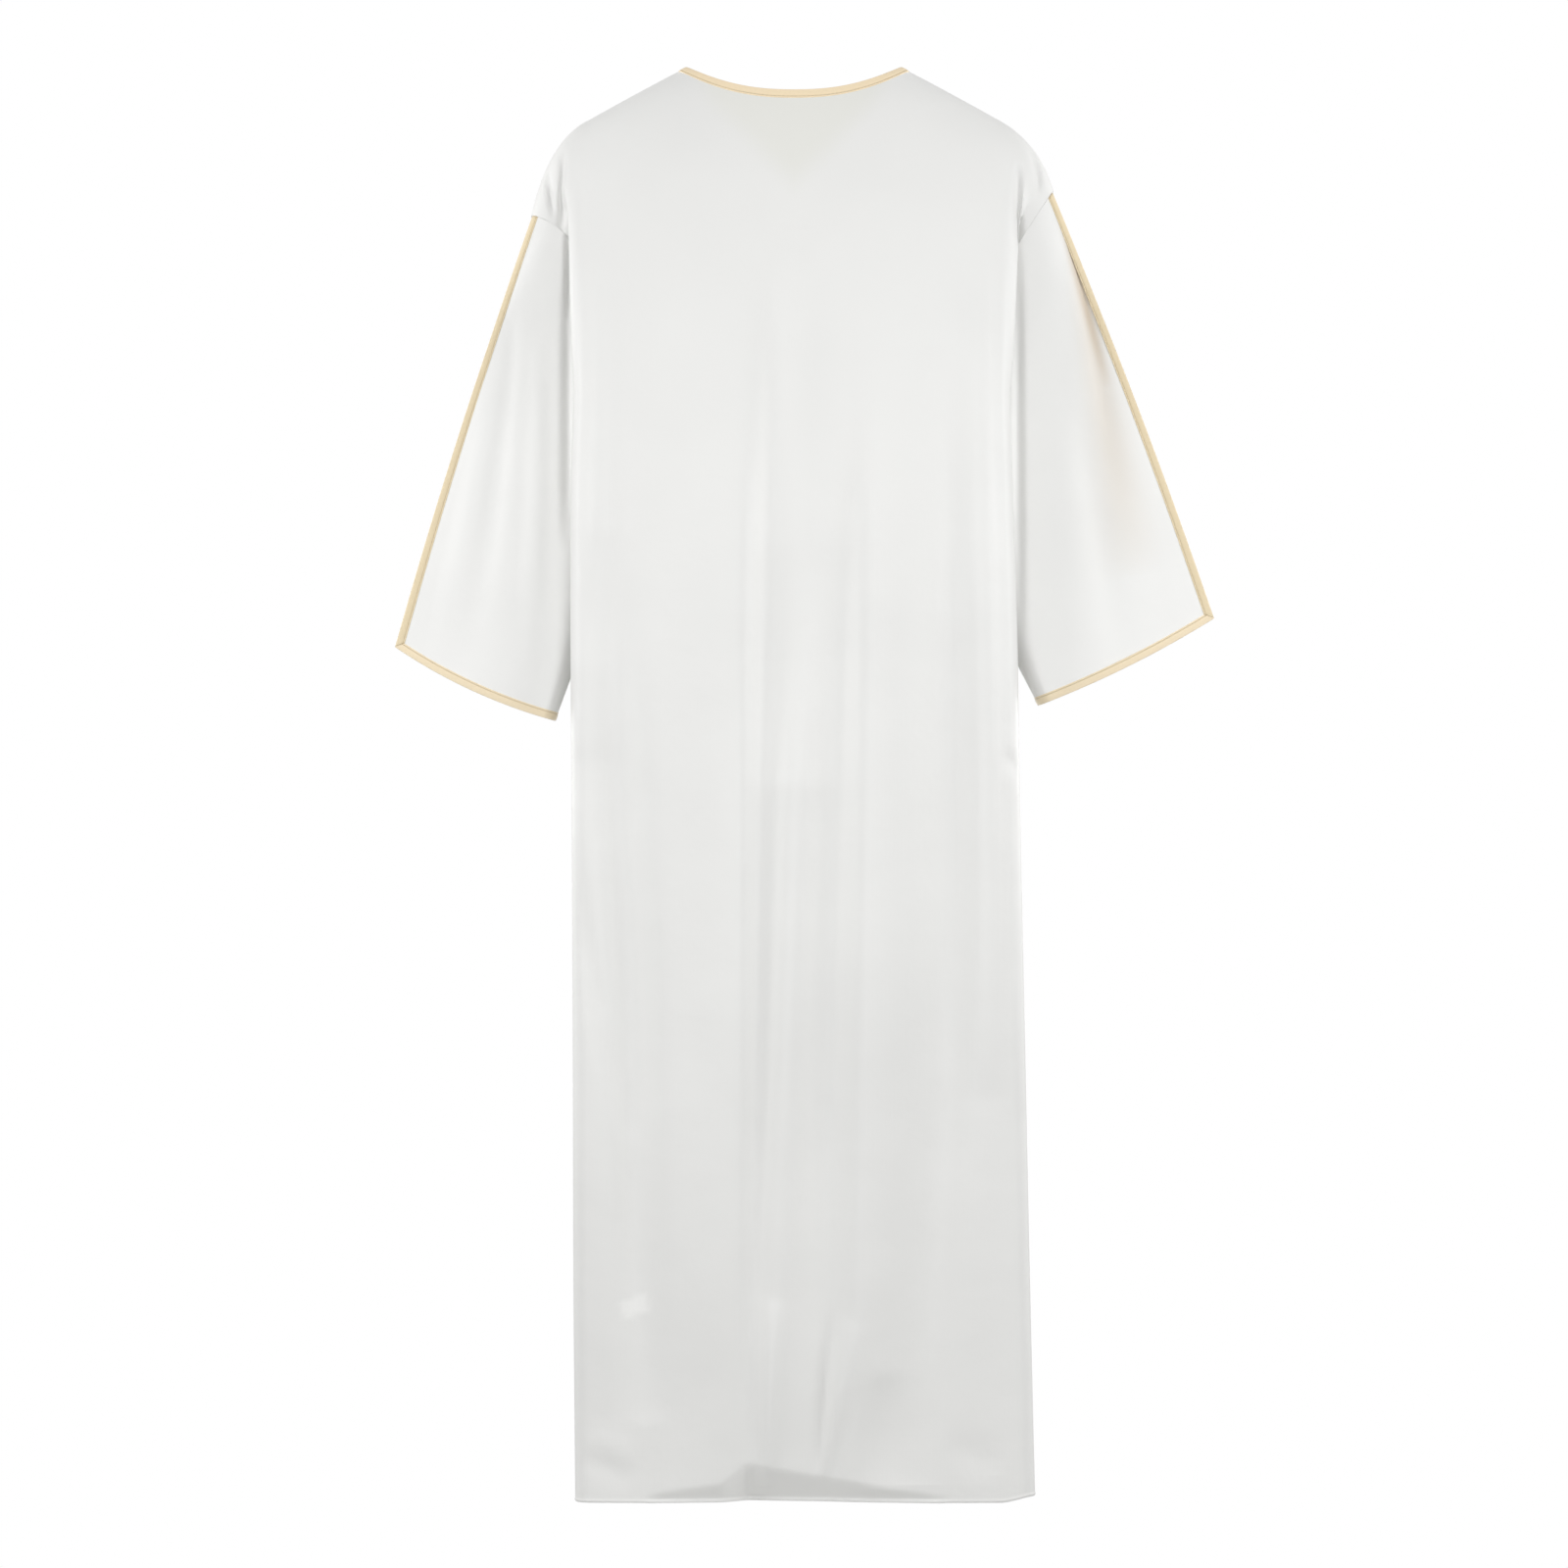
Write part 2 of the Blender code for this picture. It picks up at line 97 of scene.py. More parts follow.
# Body
UNDERARM_Z = -0.322
HEM_Z = -1.398
FLAT_HALF = 0.285
ROLL_RADIUS = 0.015
TUCK_RADIUS = 0.010
SHOULDER_RISE = 0.200
RISE_POWER = 0.62
ROLL_STEEPEST = 0.6
ROLL_END = 0.48
LEG_END = 0.76
SECTION_Z = np.array([HEM_Z, -1.200, -0.950, -0.700, -0.550, -0.420, -0.300, -0.160, -0.050])
SECTIONS = {
    "left": np.array([0.2124, 0.2140, 0.2147, 0.2158, 0.2168, 0.2165, 0.2130, 0.2158, 0.2160]),
    "right": np.array([0.2343, 0.2296, 0.2243, 0.2190, 0.2165, 0.2125, 0.2096, 0.2115, 0.2140]),
    "depth": np.array([0.056, 0.058, 0.060, 0.062, 0.062, 0.062, 0.062, 0.060, 0.058]),
    "back_crown": np.array([0.003, 0.005, 0.007, 0.009, 0.010, 0.012, 0.012, 0.010, 0.008]),
    "front_crown": np.array([0.006, 0.008, 0.010, 0.012, 0.014, 0.016, 0.016, 0.012, 0.008]),
}

# Hanging folds, in millimetres: top, bottom, x at the top, middle and bottom, width on the left and on
# the right, and height (valleys negative)
FOLDS = {
    "back": (
        (-360, -1440, 54, 51, 56, 50, 13, +8),
        (-180, -1440, 18, 30, 46, 14, 20, -6.5),
        (-500, -1440, -12, 10, 36, 16, 18, +5.5),
        (-280, -1420, -53, -35, -30, 28, 18, -8.5),
        (-360, -1420, -76, -69, -58, 18, 45, +8),
        (-460, -1320, 184, 158, 147, 22, 22, -14),
        (-280, -1380, -136, -150, -122, 34, 22, -10),
        (-160, -700, 2, 2, 4, 36, 36, -12),
        (-140, -1000, -181, -183, -188, 22, 21, +8.5),
        (-140, -680, 186, 188, 192, 22, 20, +7),
    ),
    "front": (
        (-300, -1300, 92, 88, 84, 40, 18, +9),
        (-450, -1380, 18, 12, 8, 18, 22, -10.5),
        (-360, -1380, -62, -66, -74, 18, 34, +8.5),
        (-500, -1380, 150, 152, 158, 18, 24, -10),
        (-420, -1380, -132, -136, -146, 26, 19, -10.5),
    ),
}
FOLD_FADE = 0.7

# Creases by piece, in millimetres: start x, z, end x, z, bow, width at the start and at the end, and
# height
CREASES = {
    "back_panel": (
        (240, -78, 233, -150, -3, 2.6, 2.6, -8),
        (232, -80, 230, -134, 1, 2.4, 2.4, +1.5),
        (224.5, -84, 226.5, -165, 0, 3, 3.4, -7.5),
        (-222, -62, -238.5, -128, 5, 2.8, 2.8, -8.5),
        (-218, -96, -216.8, -205, 0, 4, 4.4, -9),
        (-205, -670, -223, -700, 0, 5, 6, -2.5),
        (212, -750, 154, -1045, -10, 9, 11, -3),
        (20, -1200, 26, -1384, 0, 12, 7, +6),
        (-52, -1220, -29, -1374, 2, 12, 5, +5.5),
        (-35, -1220, -21, -1378, 0, 6, 5, -3.6),
        (-86, -1275, -84, -1385, 0, 20, 26, -4.5),
        (-150, -1338, -198, -1366, 0, 17, 17, -1.8),
        (208, -1354, 156, -1378, 2, 12, 12, -1.2),
        (200, -1334, 152, -1358, 2, 12, 12, +1.4),
    ),
    "front_panel": (
        (232, -80, 226, -140, -4, 3.5, 4, -3),
        (-226, -70, -232, -132, 3, 4, 4, -3),
        (70, -150, 18, -300, 6, 9, 12, -3),
        (-78, -140, -30, -290, -6, 9, 12, -3),
        (-200, -720, -150, -1000, 8, 9, 11, -3),
        (60, -1220, 48, -1370, 0, 8, 6, +3),
        (-20, -1240, -34, -1372, 0, 8, 5, -3),
        (196, -1325, 130, -1368, 4, 16, 16, -1.6),
    ),
    "left_sleeve_back": (
        (220.5, -155, 220, -250, 0, 2.6, 3, -4.5),
        (220.5, -210, 220.5, -470, 0, 5, 6.5, -5),
        (273, -240, 322, -600, 6, 7, 15, -2.6),
        (250, -270, 262, -620, 4, 7, 14, +2.4),
        (296, -300, 350, -590, 3, 9, 15, +2),
    ),
    "right_sleeve_back": (
        (-262, -150, -318, -430, 7, 3, 15, -3),
        (-218, -180, -219.5, -560, 0, 5, 6, -4),
        (-280, -330, -322, -600, 0, 14, 18, -3.5),
    ),
    "left_sleeve_front": (
        (264, -200, 312, -580, -3, 6, 14, -4),
        (282, -300, 344, -600, 3, 8, 14, +3),
    ),
    "right_sleeve_front": (
        (-260, -220, -300, -600, 4, 7, 14, -4),
        (-290, -300, -350, -580, 0, 8, 14, +3),
    ),
}
CREASE_FADE = 0.7
CREASED_FROM = (0.004, 0.010)  # depth where the creases begin, and how much further they are full

# Painted shade, warm, on the right sleeve's back beside its open edge: strokes in the creases' form, with a
# strength in thousandths for the height, and the ratios that they turn the cloth's colour by
SLIT_SHADES = (
    (-258, -140, -307, -314, 1, 4.5, 5, 600),
    (-260, -145, -332, -500, 5, 3, 27, 380),
)
SLIT_PAINTED_SHADE = (("slit_shade", (0.72, 0.60, 0.46)),)

# Hem of the back, turning under: x and z of the crease that it turns at, and how far it leans in
CURL_X = np.array([-0.190, -0.076, -0.010, 0.044, 0.068, 0.130, 0.165])
CURL_Z = np.array([-1.400, -1.3815, -1.3705, -1.3600, -1.3800, -1.3890, -1.400])
CURL_LEAN = 0.75
CURL_SOFTNESS = 0.0014
CURL_EDGE = 0.0035
CURL_RETURN = 1.8
CURL_FADE = 0.030

# Hem: the cloth turns up inside, round a small fold that swells a little
HEM_TURN = 0.0009
HEM_STRIP = 12  # in rows of the panel, about 1 mm each
HEM_SWELL = 0.0008
HEM_SWELL_WIDTH = 0.0018
FINE_HEM = 0.046  # the part above the fold that has close rows
FINE_ROWS = 48
HEM_LIFT = 0.0055  # of its right corner, over the last of its width and height
LIFT_START = 0.200
LIFT_RUN = 0.032
LIFT_HEIGHT = 0.060

# Sleeves
SIDES = {  # sign, crook, arm_top, arm_bend, cuff_top, cuff_under, as (outward, z) points
    "left": (+1, (0.240, -0.070), (0.2575, -0.146), (0.190, -0.165), (0.390, -0.568), (0.234, -0.640)),
    "right": (-1, (0.240, -0.072), (0.2545, -0.121), (0.197, -0.205), (0.411, -0.540), (0.240, -0.625)),
}
ARMHOLE_DEPTH = 0.030
ARMHOLE_SKEW = 0.45
SLEEVE_KNOTS = np.array([0.0, 0.45, 1.0])
SLEEVE_DEPTHS = np.array([0.018, 0.023, 0.021])
SLEEVE_RISE = 0.75  # share of the way round where a sleeve is deepest
CUFF_RISE = 0.93  # the same at the cuff
SLEEVE_START = 0.40  # its depth at the open edge, as a share of the deepest
SLEEVE_ROUND = 2.5
HEAD_LENGTH = 0.3
SLIT_START = 0.02
SLIT_BOW = 0.004
UNDERARM_BOWS = {"left": 0.007, "right": 0.014}
CUFF_BOWS = {"left": 0.007, "right": 0.0045}

# Blank label inside the left side seam
LABEL_Z = -1.203
LABEL_START = 0.002
LABEL_LENGTH = 0.026
LABEL_HEIGHT = 0.017
LABEL_DROOP = math.radians(20)
LABEL_WALL = 0.0006
LABEL_LIFT = 0.0032
LABEL_GRID = (12, 20)

# Painted shade and painted light on the thin back: darker inside the front's neck and lighter over the label,
# as ratios of the cloth's colour, with the distances that their edges fade over
BACK_PAINTED_LIGHT_AND_SHADE = (("behind", (0.955, 0.955, 0.925)), ("label_behind", (1.05, 1.05, 1.05)))
NECK_BLUR = 0.045
NECK_SIDE_BLUR = 0.030
NECK_FLARE = 0.030  # how much lower the dark part reaches at its ends
LABEL_BLUR = 0.006
LABEL_PATCH = (0.1546, -1.2080)
LABEL_PATCH_DEPTH = 0.03  # only cloth that is further than this from the middle plane shows it

# Grid counts, rows by columns
NECK_COLUMNS = 54
SHOULDER_COLUMNS = 18
TUCK_COLUMNS = 26
YOKE_ROWS = 62
SKIRT_ROWS = 168
SLEEVE_GRID = (150, 90)
BAND_ROWS = 200
BAND_RING = 28
STITCH_PITCH = 0.0026
STITCH_LENGTH = 0.0019
STITCH_RADIUS = 0.00024
STITCH_RING = 6
STITCH_SINK = 0.75  # how far it lies down the groove
STITCHED = {"back": 0.225, "front": 0.355, "slit": 0.44, "cuff": 0.17}  # lengths of the rows

CAMERA_PLACE = (0.0096, 5.0, -0.7018)
CAMERA_LENS = 117.19
FLOOR_BELOW = 0.5  # under the lowest point
FLOOR_RADIUS = 0.9
FLOOR_CORNERS = 96
# The side softboxes stand level with the sleeves, so that the sides don't glare lower down, and those in
# front and behind stand lower, so that the light falls off gently towards the hem
SIDE_LIGHT = np.array([1.60, 0.86, -0.28])
SIDE_LIGHT_SIZE = 0.8
FACE_LIGHT = np.array([0.0, 1.70, -0.60])
FACE_LIGHT_SIZE = 1.2

SATIN_SHEEN = {"Sheen Weight": 0.15, "Sheen Roughness": 0.4, "IOR": 1.46}
COLOUR = {"subtype": "COLOR", "size": 4, "min": 0, "max": 1}


def smooth(t):
    """Runs from 0 to 1 as t does, level at both ends: three t squared less two t cubed."""
    t = np.clip(t, 0, 1)
    return t * t * (3 - 2 * t)


def through(knots, values, at):
    """A smooth curve through the values: a cubic between knots, with slopes taken from neighbours."""
    slopes = np.gradient(values, knots)
    i = np.clip(np.searchsorted(knots, at) - 1, 0, len(knots) - 2)
    step = knots[i + 1] - knots[i]
    t = np.clip((at - knots[i]) / step, 0, 1)
    start = (1 + 2 * t) * (1 - t) ** 2 * values[i] + t * (1 - t) ** 2 * step * slopes[i]
    end = t**2 * (3 - 2 * t) * values[i + 1] - t**2 * (1 - t) * step * slopes[i + 1]
    return start + end


def section(name, z):
    """One of the body's sizes at the heights z."""
    return through(SECTION_Z, SECTIONS[name], np.asarray(z, float))


def bezier(start, bend, end, t):
    """A quadratic curve: the three points weighted by (1-t) squared, 2t(1-t) and t squared."""
    t = np.asarray(t, float)[..., None]
    return (1 - t) ** 2 * np.array(start) + 2 * t * (1 - t) * np.array(bend) + t**2 * np.array(end)


def bowed(start, end, bow, t):
    """A quadratic curve between two points that bows to the right of its direction by a distance."""
    start, end = np.array(start), np.array(end)
    along = (end - start) / np.linalg.norm(end - start)
    return bezier(start, (start + end) / 2 + 2 * bow * np.array([along[1], -along[0]]), end, t)


def shoulder_line(out):
    """Height of the shoulder ridge: a hyperbola through the neck point."""
    return -SHOULDER_SLOPE * (np.hypot(out, SHOULDER_EASE) - math.hypot(NECK_HALF, SHOULDER_EASE))


def neck_edge(face, share, inset):
    """(x, z) of the neckline, moved into the cloth by inset: from the shoulder line at share -1 and 1
    down to the lowest point at 0, by one less the share to a power."""
    drop, power, mitre = NECK[face]
    slope = math.atan(SHOULDER_SLOPE * NECK_HALF / math.hypot(NECK_HALF, SHOULDER_EASE))
    half = NECK_HALF + inset * math.cos(slope)
    top = shoulder_line(half)
    return half * share, top + (-drop - inset * mitre - top) * (1 - np.abs(share) ** power)


def fold_height(face, x, z):
    """Sum of the hanging folds: each is a bell across its centre line, with its own width on either
    side, times a sine along it."""
    total = np.zeros(np.broadcast(x, z).shape)
    for top, bottom, x_top, x_middle, x_bottom, left, right, height in np.array(FOLDS[face]) / 1000:
        along = np.clip((top - z) / (top - bottom), 0, 1)
        centre = through(np.array([0.0, 0.5, 1.0]), np.array([x_top, x_middle, x_bottom]), along)
        width = np.where(x > centre, left, right)
        total += height * np.sin(math.pi * along) ** FOLD_FADE * np.exp(-(((x - centre) / width) ** 2))
    return total


def crease_height(table, x, z):
    """Sum of the creases: each is a bell across a bowed line, times a sine along it."""
    rows = np.array(table).T.reshape(8, -1, *([1] * np.ndim(x))) / 1000
    x0, z0, x1, z1, bow, first, last, height = rows
    dx, dz = x1 - x0, z1 - z0
    length = np.hypot(dx, dz)
    along = np.clip(((x - x0) * dx + (z - z0) * dz) / length**2, 0, 1)
    off = ((x - x0) * dz - (z - z0) * dx) / length - 4 * bow * along * (1 - along)
    width = first + (last - first) * along
    return np.sum(height * np.sin(math.pi * along) ** CREASE_FADE * np.exp(-((off / width) ** 2)), 0)


def body_depth(face, x, z):
    """Depth of the body's outer face: it grows from the shoulder seam as nearly a quarter of an oval, to
    the section's depth plus a crown that is highest at the centre, plus the hanging folds."""
    below = np.clip((shoulder_line(np.abs(x)) - z) / SHOULDER_RISE, 0, 1)
    growth = (1 - (1 - below) ** 2) ** RISE_POWER
    half = np.where(x > 0, section("left", z), section("right", z)) - ROLL_RADIUS
    crown = section(face + "_crown", z) * np.clip(1 - (x / half) ** 4, 0, 1)
    return SHOULDER_SEAM + growth * (section("depth", z) + crown + fold_height(face, x, z))


def roll_start(side, face, z):
    """(outward, depth, lean) where the rounded side begins. It leans as the face that it leaves does,
    and stands upright at the shoulder seam."""
    sign = SIDES[side][0]
    centre = section(side, z) - ROLL_RADIUS
    step = 0.002
    fall = body_depth(face, sign * (centre - step), z) - body_depth(face, sign * (centre + step), z)
    settled = smooth((shoulder_line(centre) - z) / SHOULDER_RISE)
    lean = np.arctan(np.clip(fall / (2 * step), 0, ROLL_STEEPEST)) * settled
    out = centre + ROLL_RADIUS * np.sin(lean)
    return out, body_depth(face, sign * out, z), lean


def side_wrap(side, face, z, share):
    """(outward, depth, z) of the side of the body: an arc round the visible fold, a straight line
    inward that touches it, and an arc into the fold that holds the side seam."""
    z, share = np.broadcast_arrays(np.asarray(z, float), np.asarray(share, float))
    edge = section(side, z)
    _, start_deep, start_lean = roll_start(side, face, z)
    roll_out = edge - ROLL_RADIUS
    roll_deep = start_deep - ROLL_RADIUS * np.cos(start_lean)
    tuck_out = 2 * edge - FLAT_HALF + TUCK_RADIUS
    reach_out, reach_deep = tuck_out - roll_out, SIDE_SEAM - roll_deep
    lean = np.arcsin((ROLL_RADIUS + TUCK_RADIUS) / np.hypot(reach_out, reach_deep))
    turn = np.arctan2(reach_deep, reach_out) - lean + math.pi / 2
    upright = math.pi / 2 - start_lean
    at_roll = upright + (turn - upright) * np.clip(share / ROLL_END, 0, 1)
    at_tuck = turn + math.pi - turn * np.clip((share - LEG_END) / (1 - LEG_END), 0, 1)
    across = np.clip((share - ROLL_END) / (LEG_END - ROLL_END), 0, 1)
    out = (roll_out + ROLL_RADIUS * np.cos(at_roll)) * (1 - across)
    out = out + (tuck_out + TUCK_RADIUS * np.cos(at_tuck)) * across
    deep = (roll_deep + ROLL_RADIUS * np.sin(at_roll)) * (1 - across)
    deep = deep + (SIDE_SEAM + TUCK_RADIUS * np.sin(at_tuck)) * across
    return np.stack([out, deep, z], -1)


def sleeve_section(share, p):
    """Height of a sleeve's section: from the open edge it rises as half a parabola to its deepest, and
    then it rounds off to the underarm as a quarter of an oval, which is shorter towards the cuff."""
    deepest = SLEEVE_RISE + (CUFF_RISE - SLEEVE_RISE) * smooth(2 * p - 1)
    rise = SLEEVE_START + (1 - SLEEVE_START) * (1 - np.clip(1 - share / deepest, 0, 1) ** 2)
    past = np.clip((share - deepest) / (1 - deepest), 0, 1)
    return rise * np.sqrt(1 - past**SLEEVE_ROUND)


def armhole(side, share, gap=0.0):
    """(outward, depth, z) of the armhole seam from the shoulder to the underarm: a quadratic curve
    seen from the back, and half a sine in depth. It is moved outward from the body by gap."""
    _, _, arm_top, arm_bend, _, _ = SIDES[side]
    under = np.array([2 * section(side, UNDERARM_Z) - FLAT_HALF, UNDERARM_Z])
    share = np.asarray(share, float)
    flat = bezier(arm_top, arm_bend, under, share)
    slope = share[..., None]
    slope = 2 * (1 - slope) * (np.array(arm_bend) - arm_top) + 2 * slope * (under - arm_bend)
    slope = slope / np.linalg.norm(slope, axis=-1, keepdims=True)
    flat = flat + gap * np.stack([-slope[..., 1], slope[..., 0]], -1)
    seam = SHOULDER_SEAM + (UNDERARM_SEAM - SHOULDER_SEAM) * share
    deep = seam + ARMHOLE_DEPTH * np.sin(math.pi * share**ARMHOLE_SKEW)
    return np.stack([flat[..., 0], deep, flat[..., 1]], -1)


def yoke_side(side, face, down, share):
    """The body beyond the roll, above the underarm: a straight line from the roll to the armhole, plus
    the bulge of the shoulder's end, which gives way downward to that of the section at the underarm."""
    _, crook, arm_top = SIDES[side][:3]
    start_out = SECTIONS[side][-1] - ROLL_RADIUS
    start = (start_out, shoulder_line(start_out))
    top = bezier(start, crook, arm_top, share)
    top = np.stack([top[..., 0], np.full(share.shape, SHOULDER_SEAM), top[..., 1]], -1)
    low = side_wrap(side, face, UNDERARM_Z, share)
    z = start[1] + (UNDERARM_Z - start[1]) * down
    out, deep, _ = roll_start(side, face, z)
    first = np.stack([out, deep, z], -1)
    spread = share[..., None]
    chord = first + (armhole(side, down) - first) * spread
    top_bulge = top - (top[:, :1] + (top[:, -1:] - top[:, :1]) * spread)
    low_bulge = low - (low[:, :1] + (low[:, -1:] - low[:, :1]) * spread)
    settle = smooth(down)[..., None]
    return chord + (1 - settle) * top_bulge + settle * low_bulge


def panel_points(face):
    """Grid of a panel from the right side seam to the left one, top row first. Across, it is the right
    side, the shoulders and neck, and the left side. Down, it is spread evenly from the top edge to the
    underarm, and then level by level to the hem."""
    down = np.linspace(0, 1, YOKE_ROWS + 1)[:-1, None]
    levels = np.linspace(UNDERARM_Z, HEM_Z + FINE_HEM, SKIRT_ROWS + 1)
    fine = np.linspace(HEM_Z + FINE_HEM, HEM_Z + HEM_TURN, FINE_ROWS + 1)[1:]
    levels = np.concatenate([levels, fine])[:, None]
    share = np.linspace(0, 1, TUCK_COLUMNS + 1)[None, :]
    wraps = {}
    for side in SIDES:
        yoke, wrap = yoke_side(side, face, down, share), side_wrap(side, face, levels, share)
        wraps[side] = np.concatenate([yoke, wrap])
    across = np.sin(np.linspace(-math.pi / 2, math.pi / 2, NECK_COLUMNS + 1))
    neck_x, neck_z = neck_edge(face, across, CLOTH_INSET)
    even_x = np.linspace(neck_x[0], neck_x[-1], len(neck_x))
    share_down = np.concatenate([down, np.ones_like(levels)])
    step = np.arange(1, SHOULDER_COLUMNS)[None, :] / SHOULDER_COLUMNS
    left_out, right_out = wraps["left"][:, :1, 0], wraps["right"][:, :1, 0]
    left_x = neck_x[-1] + (left_out - neck_x[-1]) * step
    right_x = -right_out + (neck_x[0] + right_out) * step
    x = np.concatenate([right_x, neck_x + (even_x - neck_x) * share_down, left_x], 1)
    top = shoulder_line(np.abs(x))
    top[:, SHOULDER_COLUMNS - 1 : SHOULDER_COLUMNS - 1 + len(neck_x)] = neck_z
    bottom = np.concatenate([np.full_like(down, UNDERARM_Z), levels])
    z = top + (bottom - top) * share_down
    middle = np.stack([x, body_depth(face, x, z), z], -1)
    right = wraps["right"][:, ::-1] * np.array([-1, 1, 1])
    points = np.concatenate([right, middle, wraps["left"]], 1)
    lift = smooth((-points[..., 0] - LIFT_START) / LIFT_RUN)
    points[..., 2] += HEM_LIFT * lift * smooth((HEM_Z + LIFT_HEIGHT - points[..., 2]) / LIFT_HEIGHT)
    return points * np.array([1, FACE_SIGN[face], 1])


def sleeve_point(side, w, p):
    """(outward, depth, z) of a sleeve: w runs from its open top edge round to the underarm seam, and p
    from the armhole to the cuff. It is spanned by those four edges, with its section's depth."""
    _, _, _, _, cuff_top, cuff_under = SIDES[side]
    w, p = np.broadcast_arrays(np.asarray(w, float), np.asarray(p, float))
    share = SLIT_START + (1 - SLIT_START) * w
    head = armhole(side, share, ARMHOLE_GAP)
    first = armhole(side, SLIT_START, ARMHOLE_GAP)[[0, 2]]
    last = armhole(side, 1.0, ARMHOLE_GAP)[[0, 2]]
    cuff = bowed(cuff_top, cuff_under, -CUFF_BOWS[side], w)
    slit = bowed(first, cuff_top, -SLIT_BOW, p)
    under = bowed(last, cuff_under, UNDERARM_BOWS[side], p)
    deep = UNDERARM_SEAM + through(SLEEVE_KNOTS, SLEEVE_DEPTHS, p) * sleeve_section(share, p)
    opened = smooth(p / HEAD_LENGTH)
    deep = head[..., 1] * (1 - opened) + deep * opened
    w, p = w[..., None], p[..., None]
    corners = (1 - p) * ((1 - w) * first + w * last)
    corners = corners + p * ((1 - w) * np.array(cuff_top) + w * np.array(cuff_under))
    flat = (1 - p) * head[..., [0, 2]] + p * cuff + (1 - w) * slit + w * under - corners
    return np.stack([flat[..., 0], deep, flat[..., 1]], -1)


def slit_share(side, inset, p):
    """The w of a point this far from the sleeve's open edge."""
    return inset / np.linalg.norm(sleeve_point(side, 1.0, p) - sleeve_point(side, 0.0, p), axis=-1)


def cuff_share(side, inset, w):
    """The p of a point this far from the cuff."""
    return 1 - inset / np.linalg.norm(sleeve_point(side, w, 1.0) - sleeve_point(side, w, 0.0), axis=-1)


def sleeve_cloth(side):
    """Grid of a sleeve half between its bindings: down from the armhole, and round from the open edge."""
    down = np.linspace(0, 1, SLEEVE_GRID[0] + 1)[:, None]
    round_it = np.linspace(0, 1, SLEEVE_GRID[1] + 1)[None, :]
    last = slit_share(side, CLOTH_INSET, 1.0)
    p = cuff_share(side, CLOTH_INSET, last + (1 - last) * round_it) * down
    first = slit_share(side, CLOTH_INSET, p)
    return sleeve_point(side, first + (1 - first) * round_it, p)


def placed(points, side, face):
    """Turns (outward, depth, z) into (x, y, z)."""
    return points * np.array([SIDES[side][0], FACE_SIGN[face], 1])


def normals_of(points):
    """Unit normals of a grid: the cross product of its two directions."""
    normal = np.cross(np.gradient(points, axis=1), np.gradient(points, axis=0))
    return normal / np.maximum(np.linalg.norm(normal, axis=-1, keepdims=True), 1e-12)


def creased(points, name, sign):
    """Moves a grid towards its face by its creases, least where it turns away at the sides."""
    facing = np.clip(np.abs(normals_of(points)[..., 1]), 0, 1) ** 2
    depth = points[..., 1] * sign
    facing = facing * smooth((depth - CREASED_FROM[0]) / CREASED_FROM[1])
    moved = points.copy()
    moved[..., 1] += sign * facing * crease_height(CREASES[name], points[..., 0], points[..., 2])
    return moved


def curled(points):
    """Leans the back's hem inward below its crease, and its edge back out: a slope times the soft ramp
    of the distance below the crease, less that of the distance into the edge."""
    x, z = points[..., 0], points[..., 2]
    below = np.interp(x, CURL_X, CURL_Z) - z
    into_edge = HEM_Z + CURL_EDGE - z
    ramp = CURL_SOFTNESS * np.logaddexp(0, below / CURL_SOFTNESS)
    ramp = ramp - CURL_RETURN * CURL_SOFTNESS * np.logaddexp(0, into_edge / CURL_SOFTNESS)
    ramp = np.maximum(ramp, 0)
    inside = smooth((x - CURL_X[0]) / CURL_FADE) * smooth((CURL_X[-1] - x) / CURL_FADE)
    facing = np.clip(normals_of(points)[..., 1], 0, 1) ** 2 * (points[..., 1] > 0)
    moved = points.copy()
    moved[..., 1] -= CURL_LEAN * ramp * inside * facing
    return moved


def hemmed(points):
    """Swells the foot of a panel as a bell, and adds rows that turn up inside it: half a circle, then
    a strip that follows every other row of the panel at the circle's width."""
    outward = normals_of(points) * np.sign(points[..., 1:2])
    above = points[..., 2:] - points[-1, :, 2:] + HEM_TURN
    swollen = points + HEM_SWELL * np.exp(-(((above - HEM_SWELL) / HEM_SWELL_WIDTH) ** 2)) * outward
    foot, out = points[-1], outward[-1]
    up = points[-4] - points[-1]
    up = up / np.linalg.norm(up, axis=-1, keepdims=True)
    turn = np.radians(np.arange(20, 181, 20))[:, None, None]
    fold = foot - HEM_TURN * ((1 - np.cos(turn)) * out + np.sin(turn) * up)
    strip = (points - 2 * HEM_TURN * outward)[-3 : -3 - HEM_STRIP : -2]
    return np.concatenate([swollen[:-1], foot[None], fold, strip])


def painted_see_through(points):
    """How much painted shade from the front's neck and painted light from the label each point of the back
    gets:
    ramps inwards from the neck's edge and its ends, and from the four sides of the label."""
    x, z = points[..., 0], points[..., 2]
    share = np.clip(x / NECK_HALF, -1, 1)
    inside = z - neck_edge("front", share, 0.0)[1] + NECK_FLARE * np.abs(share)
    neck = smooth(inside / NECK_BLUR) * smooth((NECK_HALF - np.abs(x)) / NECK_SIDE_BLUR)
    out, up = x - LABEL_PATCH[0], z - LABEL_PATCH[1]
    cosine, sine = math.cos(LABEL_DROOP), math.sin(LABEL_DROOP)
    label = points[..., 1] > LABEL_PATCH_DEPTH
    for off, size in ((out * cosine - up * sine, LABEL_LENGTH), (out * sine + up * cosine, LABEL_HEIGHT)):
        label = label * smooth(0.5 + (size / 2 - np.abs(off)) / LABEL_BLUR)
    return {"behind": neck, "label_behind": label}


